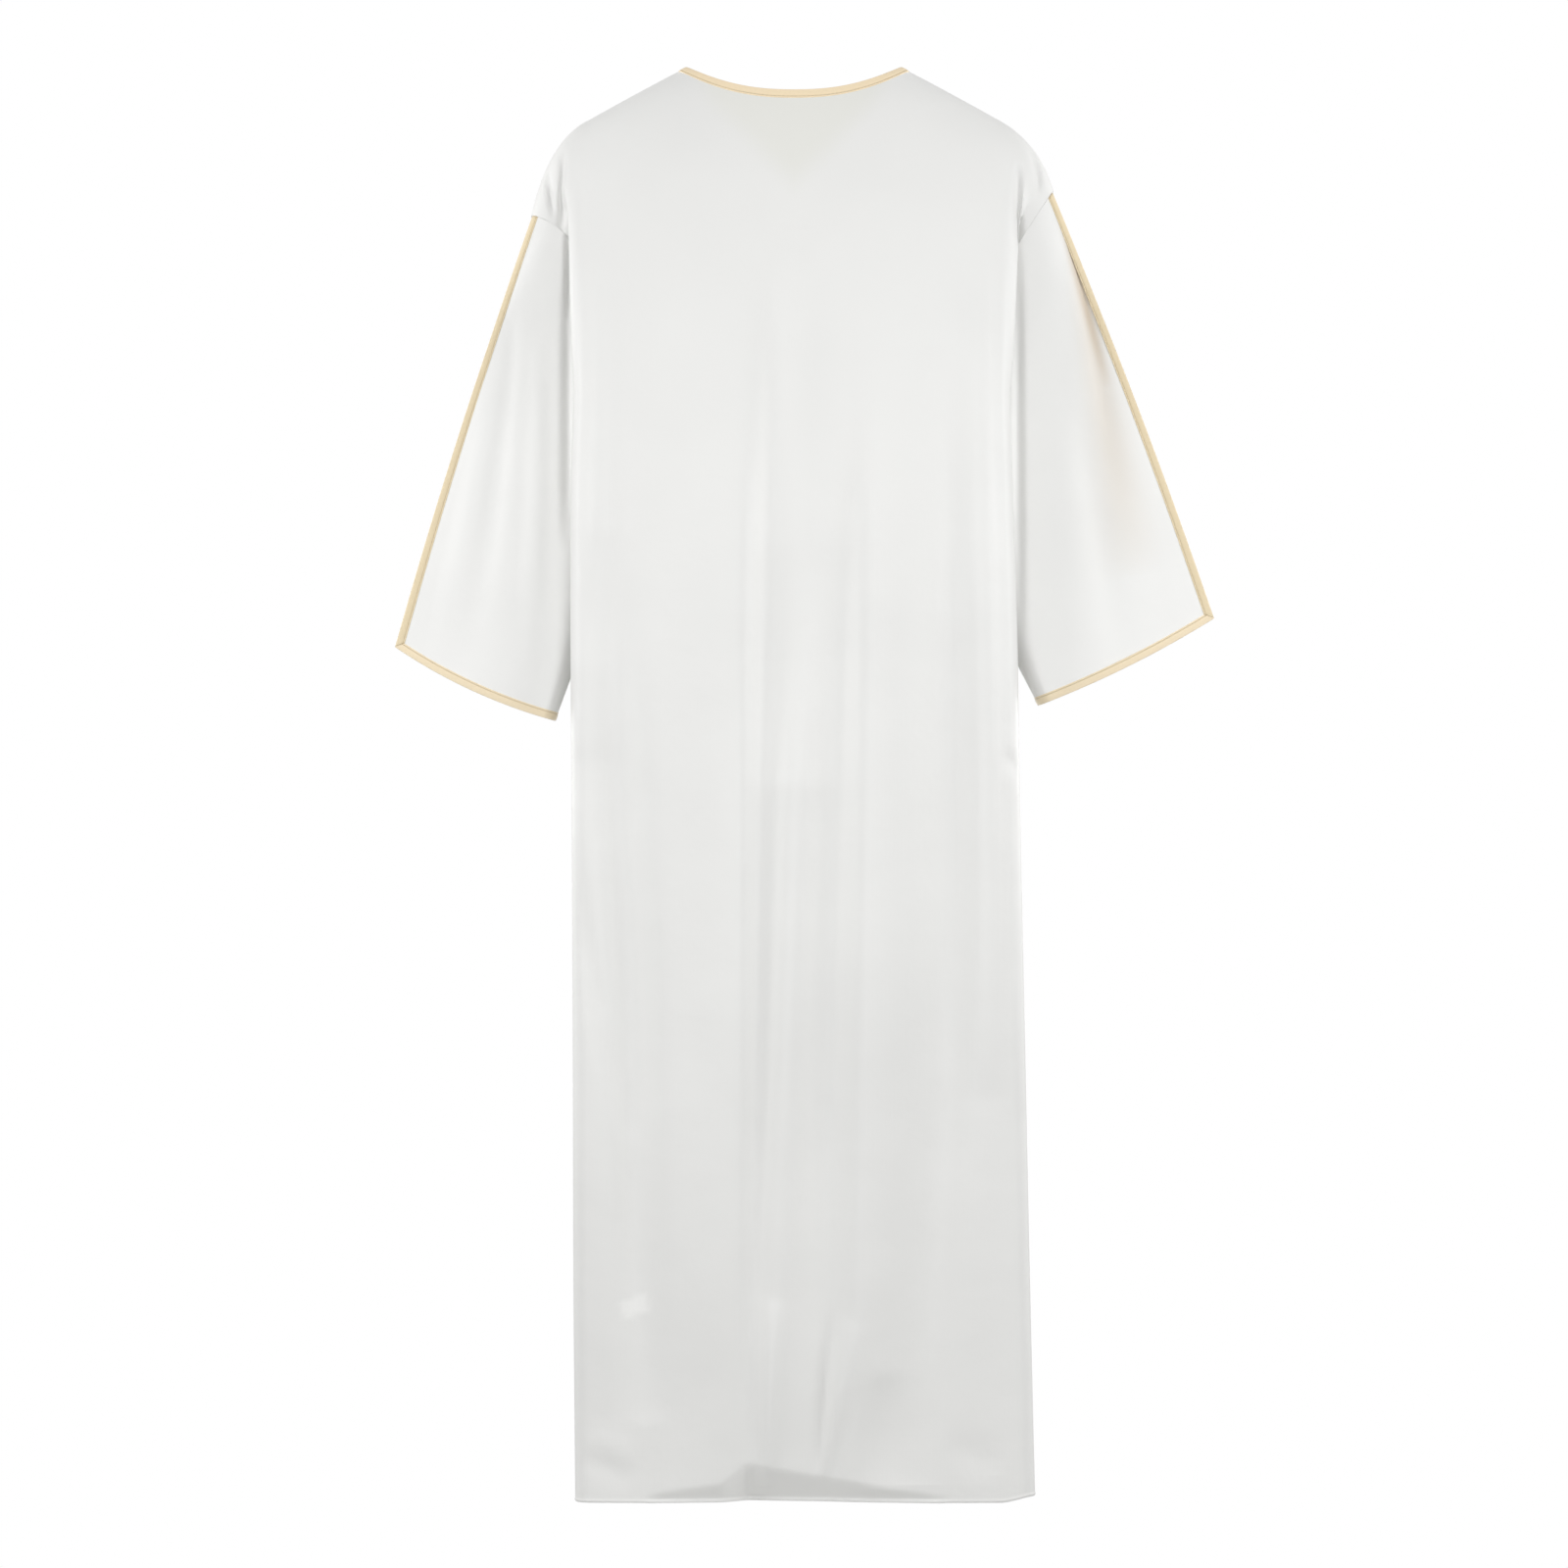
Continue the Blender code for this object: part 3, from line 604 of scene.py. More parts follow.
def flat_places(points):
    """Distances along the cloth, across and down, in metres: the mean lengths of the grid's lines."""
    across = np.linalg.norm(np.diff(points, axis=1), axis=-1).mean(0)
    down = np.linalg.norm(np.diff(points, axis=0), axis=-1).mean(1)
    u = np.concatenate([[0], np.cumsum(across)])[None, :]
    v = np.concatenate([[0], np.cumsum(down)])[:, None]
    return np.stack(np.broadcast_arrays(u, v), -1)


def grid_faces(rows, columns, ring=False):
    """Corner numbers of a grid's quads. A ring also joins its last column to its first."""
    r = np.arange(rows - 1)[:, None]
    c = np.arange(columns if ring else columns - 1)[None, :]
    following = (c + 1) % columns
    quads = np.stack(np.broadcast_arrays(
        r * columns + c, r * columns + following, (r + 1) * columns + following, (r + 1) * columns + c), -1)
    return quads.reshape(-1, 4)


def quads_of(points, faces):
    """The corners of each quad, and its normal: the cross product of its diagonals."""
    quad = points.reshape(-1, 3)[faces]
    return quad, np.cross(quad[:, 2] - quad[:, 0], quad[:, 3] - quad[:, 1])


def new_piece(name, vertices, faces, places, material):
    """Puts arrays into a mesh object that rides the robe's one body, with the flat places as its UV map."""
    mesh = bpy.data.meshes.new(name)
    mesh.from_pydata(vertices.tolist(), [], faces)
    corners = np.zeros(len(mesh.loops), np.int32)
    mesh.loops.foreach_get("vertex_index", corners)
    mesh.uv_layers.new(name="cloth").data.foreach_set("uv", places[corners].astype(np.float32).ravel())
    mesh.materials.append(material)
    mesh.shade_smooth()
    piece = bpy.data.objects.new(name, mesh)
    bpy.context.scene.collection.objects.link(piece)
    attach(piece, "root")
    return piece


def mark(piece, name, shares):
    """Stores a share for each point of a piece, as an attribute that its material reads."""
    layer = piece.data.attributes.new(name, "FLOAT", "POINT")
    layer.data.foreach_set("value", shares.astype(np.float32).ravel())


def sheet_piece(name, points, outward, material, wall=WALL):
    """A cloth piece from its outer face: an open grid that faces outward, then given its wall."""
    rows, columns = points.shape[:2]
    faces = grid_faces(rows, columns)
    _, facing = quads_of(points, faces)
    if np.sum(facing @ np.array(outward, float)) < 0:
        faces = faces[:, ::-1]
    places = flat_places(points).reshape(-1, 2)
    piece = new_piece(name, points.reshape(-1, 3), faces.tolist(), places, material)
    ends = np.zeros(2 * len(piece.data.edges), np.int32)
    piece.data.edges.foreach_get("vertices", ends)
    row, column = np.divmod(ends.reshape(-1, 2), columns)
    borders = ((row, 0), (row, rows - 1), (column, 0), (column, columns - 1))
    rim = [np.all(line == edge, 1) for line, edge in borders]
    piece.data.edges.foreach_set("use_edge_sharp", np.any(rim, 0))
    thickness = piece.modifiers.new("wall", "SOLIDIFY")
    thickness.thickness = wall
    thickness.offset = -1.0
    return piece


def band_profile():
    """Distance in from the free edge, and height, round a binding: a flattened oval whose outer side
    has a groove where the topstitching draws it down."""
    angle = np.linspace(0, 2 * math.pi, BAND_RING, endpoint=False)
    cosine, sine = np.cos(angle), np.sin(angle)
    across = BAND_WIDTH / 2 * (1 - np.sign(cosine) * np.abs(cosine) ** BAND_POWERS[0])
    height = BAND_HALF_WALL * np.sign(sine) * np.abs(sine) ** BAND_POWERS[1]
    groove = GROOVE_DEPTH * np.exp(-(((across - STITCH_INSET) / GROOVE_WIDTH) ** 2))
    return across, height - np.where(height > 0, groove, 0)


def on_band(surface, along, across, height):
    """Points at a height above a binding's middle surface, with the unit directions along it and out
    of it, from small steps each way."""
    step = 1e-4
    point = surface(along, across)
    run = surface(np.clip(along + step, 0, 1), across) - surface(np.clip(along - step, 0, 1), across)
    over = surface(along, across + step) - surface(along, across - step)
    out = np.cross(run, over)
    out /= np.linalg.norm(out, axis=-1, keepdims=True)
    out *= np.sign(np.sum(out[..., 1] * point[..., 1]))
    run /= np.linalg.norm(run, axis=-1, keepdims=True)
    return point + height[..., None] * out, run, out


def band_piece(name, surface, material):
    """A binding: its profile carried along its surface, closed at both ends."""
    along = np.linspace(0, 1, BAND_ROWS + 1)[:, None]
    across, height = band_profile()
    along, across, height = np.broadcast_arrays(along, across[None, :], height[None, :])
    points, _, _ = on_band(surface, along, across, height)
    rows, columns = along.shape
    faces = grid_faces(rows, columns, ring=True)
    centre = points.mean(1, keepdims=True)
    quad, facing = quads_of(points, faces)
    away = quad.mean(1) - np.repeat((centre[:-1, 0] + centre[1:, 0]) / 2, columns, 0)
    ends = [list(range(columns))[::-1], [(rows - 1) * columns + i for i in range(columns)]]
    if np.sum(facing * away) < 0:
        faces = faces[:, ::-1]
        ends = [end[::-1] for end in ends]
    run = np.linalg.norm(np.diff(centre[:, 0], axis=0), axis=-1)
    lengths = np.concatenate([[0], np.cumsum(run)])[:, None]
    places = np.stack(np.broadcast_arrays(across, lengths), -1).reshape(-1, 2)
    return new_piece(name, points.reshape(-1, 3), faces.tolist() + ends, places, material)


def neck_surface(face):
    """Middle surface of a neck binding, from the right shoulder to the left."""
    def surface(along, across):
        share = np.sin(math.pi * (along - 0.5))
        x, z = neck_edge(face, share, across)
        return np.stack([x, FACE_SIGN[face] * (body_depth(face, x, z) - NECK_SINK), z], -1)
    return surface


def sleeve_surface(side, face, slit):
    """Middle surface of a sleeve binding: down the open edge to a mitred corner, or from it along the
    cuff. Each line keeps its distance from the edge, and ends on the mitre."""
    def surface(along, across):
        mitre_w, mitre_p = slit_share(side, across, 1.0), cuff_share(side, across, 0.0)
        if slit:
            p = along * mitre_p
            w = slit_share(side, across, p)
        else:
            w = mitre_w + (1 - mitre_w) * along
            p = cuff_share(side, across, w)
        return placed(sleeve_point(side, w, p), side, face)
    return surface


def stitch_points(surface, length):
    """Centres of a row of stitches in the groove, with the directions along and out of the cloth."""
    count = int(length / STITCH_PITCH)
    along = (np.arange(count) + 0.5) / count
    height = np.full(count, BAND_HALF_WALL - GROOVE_DEPTH * STITCH_SINK)
    return on_band(surface, along, np.full(count, STITCH_INSET), height)


def stitch_piece(name, rows, material):
    """Many stitches in one mesh: each is a bead of thread, a circle whose radius follows half an oval
    from end to end, closed at both ends."""
    centre, run, out = (np.concatenate(part) for part in zip(*rows))
    side = np.cross(out, run)
    place = np.array([-1.0, -0.8, 0.0, 0.8, 1.0])
    radius = STITCH_RADIUS * np.array([0.45, 0.85, 1.0, 0.85, 0.45])
    angle = np.linspace(0, 2 * math.pi, STITCH_RING, endpoint=False)
    shape = (len(place), STITCH_RING)
    lengthwise = np.broadcast_to(place[:, None] * STITCH_LENGTH / 2, shape)[None, ..., None]
    sideways = (radius[:, None] * np.cos(angle))[None, ..., None]
    upward = (radius[:, None] * np.sin(angle))[None, ..., None]
    c, r, s, o = (v[:, None, None, :] for v in (centre, run, side, out))
    points = c + lengthwise * r + sideways * s + upward * o
    one = grid_faces(*shape, ring=True)[:, ::-1]
    size = len(place) * STITCH_RING
    starts = np.arange(len(centre)) * size
    faces = (one[None] + starts[:, None, None]).reshape(-1, 4).tolist()
    first = np.arange(STITCH_RING)
    last = np.arange(STITCH_RING)[::-1] + size - STITCH_RING
    faces += (starts[:, None] + first[None]).tolist() + (starts[:, None] + last[None]).tolist()
    vertices = points.reshape(-1, 3)
    return new_piece(name, vertices, faces, vertices[:, [0, 2]], material)


def linear(colour):
    """An sRGB hex colour as linear red, green, blue and alpha."""
    parts = np.array([int(colour[i : i + 2], 16) for i in (1, 3, 5)]) / 255
    parts = np.where(parts <= 0.04045, parts / 12.92, ((parts + 0.055) / 1.055) ** 2.4)
    return (*parts.tolist(), 1.0)


def add_node(tree, kind, inputs=None, **settings):
    """Adds a node, makes its settings, and fills each input with a value or links it to a socket."""
    node = tree.nodes.new(kind)
    for key, value in settings.items():
        setattr(node, key, value)
    for key, value in (inputs or {}).items():
        if isinstance(value, bpy.types.NodeSocket):
            tree.links.new(value, node.inputs[key])
        else:
            node.inputs[key].default_value = value
    return node


def bands_for(millimetres):
    """Scale of a Wave texture whose bands are this far apart, on places in metres."""
    return math.pi / 10 / (millimetres / 1000)


def tinted(colour, *ratios):
    """A colour times one ratio, or times one for each of red, green and blue, and no brighter than white."""
    return (*np.minimum(1, np.array(colour[:3]) * ratios).tolist(), 1.0)


def weave_height(tree, place, warp, weft, weft_share, waver=0.0):
    """Height of a weave: bands of warp down the cloth and of weft across it, spaced in millimetres."""
    threads = [
        add_node(tree, "ShaderNodeTexWave", {"Vector": place, "Scale": bands_for(apart), "Distortion": waver},
                 bands_direction=way).outputs["Fac"]
        for apart, way in ((warp, "X"), (weft, "Y"))]
    mix = add_node(tree, "ShaderNodeMix", {"Factor": weft_share, "A": threads[0], "B": threads[1]})
    return mix.outputs["Result"]


def layered(tree, shade, layers):
    """A colour with others laid over it in turn, each by its own share."""
    for share, over in layers:
        shade = add_node(tree, "ShaderNodeMix", {"Factor": share, "A": shade, "B": over},
                         data_type="RGBA").outputs[2]
    return shade


def surfaced(tree, shade, roughness, reliefs, finish):
    """A surface in a colour, whose reliefs are laid one on another: each has a height, strength and depth."""
    normal = {}
    for height, strength, depth in reliefs:
        relief = add_node(tree, "ShaderNodeBump", {
            "Height": height, "Strength": strength, "Distance": depth, **normal})
        normal = {"Normal": relief.outputs["Normal"]}
    return add_node(tree, "ShaderNodeBsdfPrincipled", {
        "Base Color": shade, "Roughness": roughness, **normal, **finish}).outputs["BSDF"]


def satin_finish(tree, colour, tints=()):
    """Polyester satin, woven with long floats: a smooth soft gloss that runs down the cloth, faint
    threads, slow changes of tone over about 200 mm, and shallow crumples of about 45 mm. Real threads
    are 0.12 mm apart, too fine to show, so they are drawn 1.2 and 1.6 mm apart and faint. Each tint is
    painted shade or painted light: it names an attribute of the cloth, and what the colour is multiplied by
    where it is 1."""
    place = add_node(tree, "ShaderNodeUVMap", uv_map="cloth").outputs["UV"]
    body = add_node(tree, "ShaderNodeTexCoord").outputs["Object"]
    weave = weave_height(tree, place, 1.2, 1.6, 0.35, waver=0.4)
    threads = add_node(tree, "ShaderNodeMapping", {"Vector": place, "Scale": (900.0, 35.0, 1.0)}).outputs[0]
    slub = add_node(tree, "ShaderNodeTexNoise", {"Vector": threads, "Scale": 1.0}).outputs["Fac"]
    crumple = add_node(tree, "ShaderNodeTexNoise", {
        "Vector": body, "Scale": 22.0, "Detail": 3.0, "Roughness": 0.45}).outputs["Fac"]
    cloud = add_node(tree, "ShaderNodeTexNoise", {"Vector": body, "Scale": 5.0, "Detail": 2.0}).outputs["Fac"]
    tone = add_node(tree, "ShaderNodeMapRange", {
        "Value": cloud, "From Min": 0.3, "From Max": 0.7}).outputs["Result"]
    layers = [(tone, colour)]
    for attribute, ratios in tints:
        share = add_node(tree, "ShaderNodeAttribute", attribute_name=attribute).outputs["Fac"]
        layers.append((share, tinted(colour, *ratios)))
    shade = layered(tree, tinted(colour, 0.955), layers)
    gloss = add_node(tree, "ShaderNodeMapRange", {
        "Value": slub, "To Min": 0.38, "To Max": 0.47}).outputs["Result"]
    return surfaced(tree, shade, gloss, ((crumple, 0.35, 0.003), (weave, 0.10, 0.0002)),
                    {**SATIN_SHEEN, "Anisotropic": 0.3})


def binding_finish(tree, colour):
    """Satin bias binding in sand: threads cross the strip at 45 degrees, with a soft gloss, puckers of
    about 4 mm, a slightly worn, paler fold, and painted shade along the groove where the topstitching draws
    it down. Real threads are 0.12 mm apart, and are drawn 0.9 mm apart to show."""
    place = add_node(tree, "ShaderNodeUVMap", uv_map="cloth").outputs["UV"]
    turned = add_node(tree, "ShaderNodeMapping", {"Vector": place, "Rotation": (0.0, 0.0, math.pi / 4)})
    weave = weave_height(tree, turned.outputs["Vector"], 0.9, 0.9, 0.4)
    pucker = add_node(tree, "ShaderNodeTexNoise", {
        "Vector": place, "Scale": 260.0, "Detail": 2.0}).outputs["Fac"]
    across = add_node(tree, "ShaderNodeSeparateXYZ", {"Vector": place}).outputs["X"]
    fold = add_node(tree, "ShaderNodeMapRange", {
        "Value": across, "From Min": 0.0, "From Max": 0.0016, "To Min": 1.0, "To Max": 0.0}).outputs["Result"]
    off = add_node(tree, "ShaderNodeMath", {0: across, 1: STITCH_INSET}, operation="SUBTRACT").outputs[0]
    off = add_node(tree, "ShaderNodeMath", {0: off}, operation="ABSOLUTE").outputs[0]
    # painted shade along the topstitching's groove
    drawn = add_node(tree, "ShaderNodeMapRange", {
        "Value": off, "From Min": 0.0001, "From Max": 0.0007, "To Min": 0.8, "To Max": 0.0}).outputs["Result"]
    pale = (*(c + 0.10 * (0.95 - c) for c in colour[:3]), 1.0)
    shade = layered(tree, colour, (
        (pucker, tinted(colour, 0.93)), (fold, pale), (drawn, tinted(colour, 0.66))))
    gloss = add_node(tree, "ShaderNodeMapRange", {
        "Value": pucker, "To Min": 0.40, "To Max": 0.55}).outputs["Result"]
    return surfaced(tree, shade, gloss, ((pucker, 0.3, 0.0006), (weave, 0.25, 0.0002)), SATIN_SHEEN)


def thread_finish(tree, colour):
    """Twisted polyester thread: matt, with the twist as fine slanting bands, drawn 0.5 mm apart."""
    place = add_node(tree, "ShaderNodeTexCoord").outputs["Object"]
    twist = add_node(tree, "ShaderNodeTexWave", {"Vector": place, "Scale": bands_for(0.5)},
                     bands_direction="DIAGONAL").outputs["Fac"]
    shade = layered(tree, tinted(colour, 0.85), [(twist, colour)])
    return surfaced(tree, shade, 0.6, [(twist, 0.3, 0.0001)], {"IOR": 1.5})


def tape_finish(tree, colour):
    """Plain woven label tape, blank: a matt ribbed face, with ribs drawn 0.8 mm apart."""
    place = add_node(tree, "ShaderNodeUVMap", uv_map="cloth").outputs["UV"]
    rib = add_node(tree, "ShaderNodeTexWave", {"Vector": place, "Scale": bands_for(0.8)}).outputs["Fac"]
    shade = layered(tree, tinted(colour, 0.94), [(rib, colour)])
    return surfaced(tree, shade, 0.75, [(rib, 0.3, 0.0002)], {"IOR": 1.5})


def floor_finish(tree, colour):
    """Painted studio floor: matt and pale, with a barely uneven roller finish of about 8 mm. It fades out
    towards its rim."""
    place = add_node(tree, "ShaderNodeTexCoord").outputs["Object"]
    roller = add_node(tree, "ShaderNodeTexNoise", {"Vector": place, "Scale": 125.0}).outputs["Fac"]
    paint = surfaced(tree, colour, 0.8, [(roller, 0.05, 0.001)], {})
    flat = add_node(tree, "ShaderNodeMapping", {"Vector": place, "Scale": (1.0, 1.0, 0.0)}).outputs["Vector"]
    radius = add_node(tree, "ShaderNodeVectorMath", {0: flat}, operation="LENGTH").outputs["Value"]
    fade = add_node(tree, "ShaderNodeMapRange", {
        "Value": radius, "From Min": 0.25 * FLOOR_RADIUS, "From Max": FLOOR_RADIUS},
        interpolation_type="SMOOTHSTEP").outputs["Result"]
    clear = add_node(tree, "ShaderNodeBsdfTransparent").outputs["BSDF"]
    return add_node(tree, "ShaderNodeMixShader", {0: fade, 1: paint, 2: clear}).outputs[0]


def made_once(name, finish, *values):
    """The material of that name, made the first time that a piece asks for it."""
    material = bpy.data.materials.get(name)
    if material is None:
        material = bpy.data.materials.new(name)
        material.use_nodes = True
        tree = material.node_tree
        tree.nodes.clear()
        add_node(tree, "ShaderNodeOutputMaterial", {"Surface": finish(tree, *values)})
    return material


class RobeColours(bpy.types.PropertyGroup):
    satin: FloatVectorProperty(
        name="Satin", description="Colour of the body's cloth", default=linear("#EFEFED"), **COLOUR)
    # painted light: the sleeves are the body's satin, made lighter than it only to make up for the light that
    # the body keeps off them
    sleeve_satin_painted_light: FloatVectorProperty(
        name="Sleeve satin", description="Colour of the sleeves' cloth", default=linear("#F3F3F1"), **COLOUR)
    # painted light and shade: the neck, slit and cuff bindings are one sand tape, and the neck's colour is
    # lighter and the slits' darker than the cuffs' only for how the light falls on each
    neck_binding: FloatVectorProperty(
        name="Neck binding", description="Colour of the bias binding round the neck",
        default=linear("#FCE8C5"), **COLOUR)
    sleeve_binding: FloatVectorProperty(
        name="Sleeve bindings", description="Colour of the bias bindings along the sleeves' open edges",
        default=linear("#E8D7B4"), **COLOUR)
    cuff_binding: FloatVectorProperty(
        name="Cuff bindings", description="Colour of the cuffs' bias bindings",
        default=linear("#F5E4C4"), **COLOUR)
    thread: FloatVectorProperty(
        name="Thread", description="Colour of the topstitching", default=linear("#DCC79E"), **COLOUR)
    tape: FloatVectorProperty(
        name="Label tape", description="Colour of the blank label", default=linear("#F4F4F2"), **COLOUR)


class RobeStage(bpy.types.PropertyGroup):
    floor: FloatVectorProperty(
        name="Floor", description="Colour of the floor", default=linear("#F2F2F0"), **COLOUR)
    floor_drop: FloatProperty(
        name="Floor below hem", description="Distance from the robe's hem down to the floor",
        subtype="DISTANCE", unit="LENGTH", default=float(FLOOR_BELOW - (CAD_BOX[0][2] - HEM_Z)))
    fill: FloatProperty(
        name="Fill", description="Strength of the light from all round, halfway up", min=0, default=0.36)
    side: FloatProperty(
        name="Side lights", description="Power of each side softbox", unit="POWER", min=0, default=12.4)
    face: FloatProperty(
        name="Face lights", description="Power of the softboxes behind and in front", unit="POWER", min=0,
        default=8.05)


class ROBE_OT_panels(bpy.types.Operator):
    """Cut and hang the back and front panels"""

    bl_idname = "robe.cut_panels"
    bl_label = "Back and front panels"

    def execute(self, context):
        colour = tuple(context.scene.robe_colours.satin)
        satins = {
            "front": made_once("ivory_satin_cloth", satin_finish, colour),
            # the back's satin carries painted shade inside the front's neck and painted light over the label
            "back": made_once("ivory_satin_back", satin_finish, colour, BACK_PAINTED_LIGHT_AND_SHADE),
        }
        for face, sign in FACE_SIGN.items():
            name = f"{face}_panel"
            points = creased(panel_points(face), name, sign)
            points = hemmed(curled(points) if face == "back" else points)
            piece = sheet_piece(f"{name}_cloth", points, (0, sign, 0), satins[face])
            # masks of the painted shade and painted light on the back
            if face == "back":
                for key, shares in painted_see_through(points).items():
                    mark(piece, key, shares)
            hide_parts(name)
        return {"FINISHED"}


class ROBE_OT_sleeves(bpy.types.Operator):
    """Cut the four sleeve halves and set them into the armholes"""

    bl_idname = "robe.cut_sleeves"
    bl_label = "Sleeves"

    def execute(self, context):
        # the sleeves' satin carries painted light: it is lighter than the body's only for how the light falls
        colour = tuple(context.scene.robe_colours.sleeve_satin_painted_light)
        plain = made_once("ivory_satin_sleeve", satin_finish, colour)
        # a copy of the sleeve satin that carries painted shade beside the right sleeve's open edge
        shaded = made_once("ivory_satin_slit", satin_finish, colour, SLIT_PAINTED_SHADE)
        for side in SIDES:
            cloth = sleeve_cloth(side)
            for face, sign in FACE_SIGN.items():
                name = f"{side}_sleeve_{face}"
                points = creased(placed(cloth, side, face), name, sign)
                by_slit = name == "right_sleeve_back"
                piece = sheet_piece(f"{name}_cloth", points, (0, sign, 0), shaded if by_slit else plain)
                # the right sleeve's back gets painted shade beside its open edge
                if by_slit:
                    mark(piece, "slit_shade", crease_height(SLIT_SHADES, points[..., 0], points[..., 2]))
                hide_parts(name)
        return {"FINISHED"}


class ROBE_OT_neck_bindings(bpy.types.Operator):
    """Bind the neckline and topstitch it"""

    bl_idname = "robe.bind_neck"
    bl_label = "Neck bindings"

    def execute(self, context):
        colours = context.scene.robe_colours
        # the neck binding's colour carries painted light: it is the same sand tape as the sleeves', made
        # lighter
        sand = made_once("neck_bias_binding", binding_finish, tuple(colours.neck_binding))
        thread = made_once("sewing_thread", thread_finish, tuple(colours.thread))
        rows = []
        for face in FACE_SIGN:
            surface = neck_surface(face)
            piece = band_piece(f"{face}_neck_bias", surface, sand)
            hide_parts(f"{face}_neck_binding")
            rows.append(stitch_points(surface, STITCHED[face]))
        stitches = stitch_piece("neck_topstitch", rows, thread)
        return {"FINISHED"}


class ROBE_OT_sleeve_bindings(bpy.types.Operator):
    """Bind the open edges and cuffs of the sleeves and topstitch them"""

    bl_idname = "robe.bind_sleeves"
    bl_label = "Sleeve bindings"

    def execute(self, context):
        colours = context.scene.robe_colours
        # the slits' binding colour is darker than the cuffs' as painted shade; both are one sand tape
        sands = {
            "slit": made_once("slit_bias_binding", binding_finish, tuple(colours.sleeve_binding)),
            "cuff": made_once("cuff_bias_binding", binding_finish, tuple(colours.cuff_binding)),
        }
        thread = made_once("sewing_thread", thread_finish, tuple(colours.thread))
        for side in SIDES:
            rows = []
            for face in FACE_SIGN:
                node = f"{side}_sleeve_binding_{face}"
                for part, sand in sands.items():
                    surface = sleeve_surface(side, face, part == "slit")
                    piece = band_piece(f"{node}_{part}", surface, sand)
                    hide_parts(node)
                    rows.append(stitch_points(surface, STITCHED[part]))
            stitches = stitch_piece(f"{side}_sleeve_topstitch", rows, thread)
        return {"FINISHED"}


class ROBE_OT_label(bpy.types.Operator):
    """Sew the blank label into the left side seam"""

    bl_idname = "robe.sew_label"
    bl_label = "Label"

    def execute(self, context):
        tape = made_once("label_tape", tape_finish, tuple(context.scene.robe_colours.tape))
        edge = side_wrap("left", "back", LABEL_Z, np.linspace(0, 1, 60))[::-1]
        a, b = np.meshgrid(np.linspace(0, 1, LABEL_GRID[1] + 1), np.linspace(0, 1, LABEL_GRID[0] + 1))
        out = edge[0, 0] + LABEL_START + a * LABEL_LENGTH * math.cos(LABEL_DROOP)
        z = LABEL_Z - a * LABEL_LENGTH * math.sin(LABEL_DROOP) - b * LABEL_HEIGHT
        deep = np.interp(out, edge[:, 0], edge[:, 1]) + LABEL_LIFT
        piece = sheet_piece("care_label_tape", np.stack([out, deep, z], -1), (0, 1, 0), tape, LABEL_WALL)
        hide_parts("care_label")
        return {"FINISHED"}


def softbox(name, place, size, power):
    """A square area light that faces the robe's middle line at its own height, and isn't seen itself."""
    lamp = bpy.data.lights.new(name, "AREA")
    lamp.size = size
    lamp.energy = power
    box = bpy.data.objects.new(name, lamp)
    bpy.context.scene.collection.objects.link(box)
    box.location = place
    box.rotation_euler = (math.pi / 2, 0.0, math.atan2(place[0], -place[1]))
    box.visible_camera = False


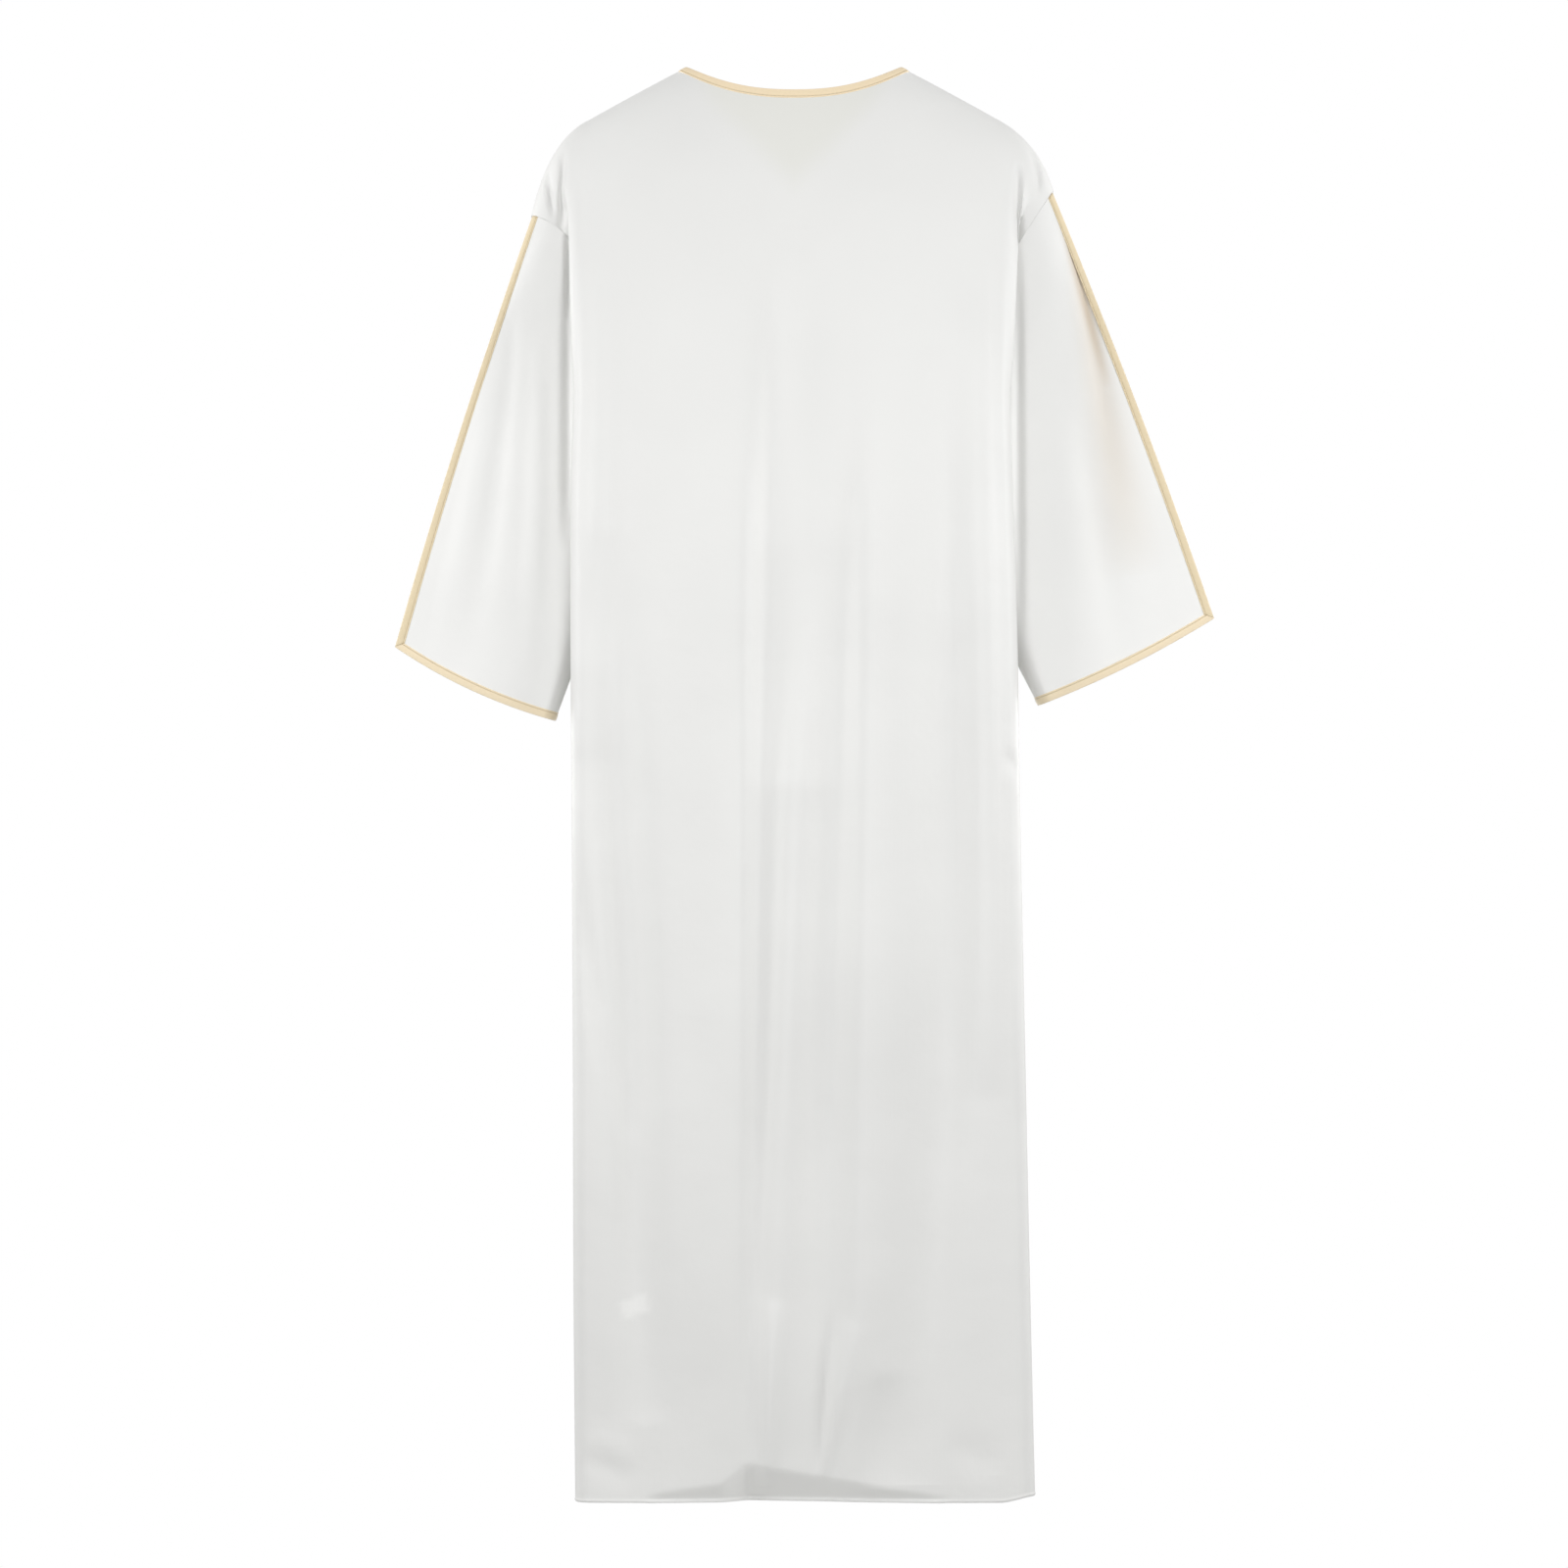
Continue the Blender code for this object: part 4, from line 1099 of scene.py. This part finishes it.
class ROBE_OT_stage(bpy.types.Operator):
    """Set the floor, the soft lights and the camera"""

    bl_idname = "robe.set_stage"
    bl_label = "Floor, lights and camera"

    def execute(self, context):
        scene = context.scene
        stage = scene.robe_stage
        angle = np.linspace(0, 2 * math.pi, FLOOR_CORNERS, endpoint=False)
        height = np.full(FLOOR_CORNERS, HEM_Z - stage.floor_drop)
        rim = np.stack([FLOOR_RADIUS * np.cos(angle), FLOOR_RADIUS * np.sin(angle), height], -1)
        mesh = bpy.data.meshes.new("studio_floor")
        mesh.from_pydata(rim.tolist(), [], [list(range(FLOOR_CORNERS))])
        mesh.materials.append(made_once("painted_floor", floor_finish, tuple(stage.floor)))
        floor = bpy.data.objects.new("studio_floor", mesh)
        scene.collection.objects.link(floor)
        for side, (sign, *_) in SIDES.items():
            for face, turn in FACE_SIGN.items():
                place = SIDE_LIGHT * (sign, turn, 1)
                softbox(f"{side}_{face}_softbox", place, SIDE_LIGHT_SIZE, stage.side)
        for face, turn in FACE_SIGN.items():
            softbox(f"{face}_softbox", FACE_LIGHT * (1, turn, 1), FACE_LIGHT_SIZE, stage.face)
        world = bpy.data.worlds.new("white_studio")
        world.use_nodes = True
        tree = world.node_tree
        tree.nodes.clear()
        seen = add_node(tree, "ShaderNodeLightPath").outputs["Is Camera Ray"]
        white = add_node(tree, "ShaderNodeBackground", {"Color": (1, 1, 1, 1), "Strength": 1.0})
        way = add_node(tree, "ShaderNodeTexCoord").outputs["Generated"]
        height = add_node(tree, "ShaderNodeSeparateXYZ", {"Vector": way}).outputs["Z"]
        shade = add_node(tree, "ShaderNodeMapRange", {
            "Value": height, "From Min": -0.8, "From Max": 0.8,
            "To Min": stage.fill * 0.2, "To Max": stage.fill * 2.0}).outputs["Result"]
        fill = add_node(tree, "ShaderNodeBackground", {"Color": (1, 1, 1, 1), "Strength": shade})
        both = add_node(tree, "ShaderNodeMixShader", {0: seen, 1: fill.outputs[0], 2: white.outputs[0]})
        add_node(tree, "ShaderNodeOutputWorld", {"Surface": both.outputs[0]})
        scene.world = world
        scene.view_settings.view_transform = "Standard"
        lens = bpy.data.cameras.new("studio_camera")
        lens.lens = CAMERA_LENS
        lens.sensor_width = 36.0
        camera = bpy.data.objects.new("studio_camera", lens)
        camera.location = CAMERA_PLACE
        camera.rotation_euler = (math.pi / 2, 0.0, math.pi)
        scene.collection.objects.link(camera)
        scene.camera = camera
        return {"FINISHED"}


OPERATORS = (
    ROBE_OT_panels,
    ROBE_OT_sleeves,
    ROBE_OT_neck_bindings,
    ROBE_OT_sleeve_bindings,
    ROBE_OT_label,
    ROBE_OT_stage,
)


class ROBE_PT_sidebar(bpy.types.Panel):
    """Shows the robe's colour and stage settings, and a button for each operator"""

    bl_idname = "ROBE_PT_sidebar"
    bl_label = "Satin robe"
    bl_space_type = "VIEW_3D"
    bl_region_type = "UI"
    bl_category = "Robe"

    def draw(self, context):
        colours, stage = context.scene.robe_colours, context.scene.robe_stage
        for group in (colours, stage):
            for key in group.__annotations__:
                self.layout.prop(group, key)
        for operator in OPERATORS:
            self.layout.operator(operator.bl_idname)


CLASSES = (RobeColours, RobeStage, *OPERATORS, ROBE_PT_sidebar)


def register():
    for each in CLASSES:
        bpy.utils.register_class(each)
    bpy.types.Scene.robe_colours = PointerProperty(type=RobeColours)
    bpy.types.Scene.robe_stage = PointerProperty(type=RobeStage)


def unregister():
    del bpy.types.Scene.robe_stage
    del bpy.types.Scene.robe_colours
    for each in reversed(CLASSES):
        bpy.utils.unregister_class(each)


def main():
    register()
    bpy.ops.robe.bind_neck()
    bpy.ops.robe.bind_sleeves()
    bpy.ops.robe.cut_panels()
    bpy.ops.robe.cut_sleeves()
    bpy.ops.robe.sew_label()
    bpy.ops.robe.set_stage()


if __name__ == "__main__":
    main()
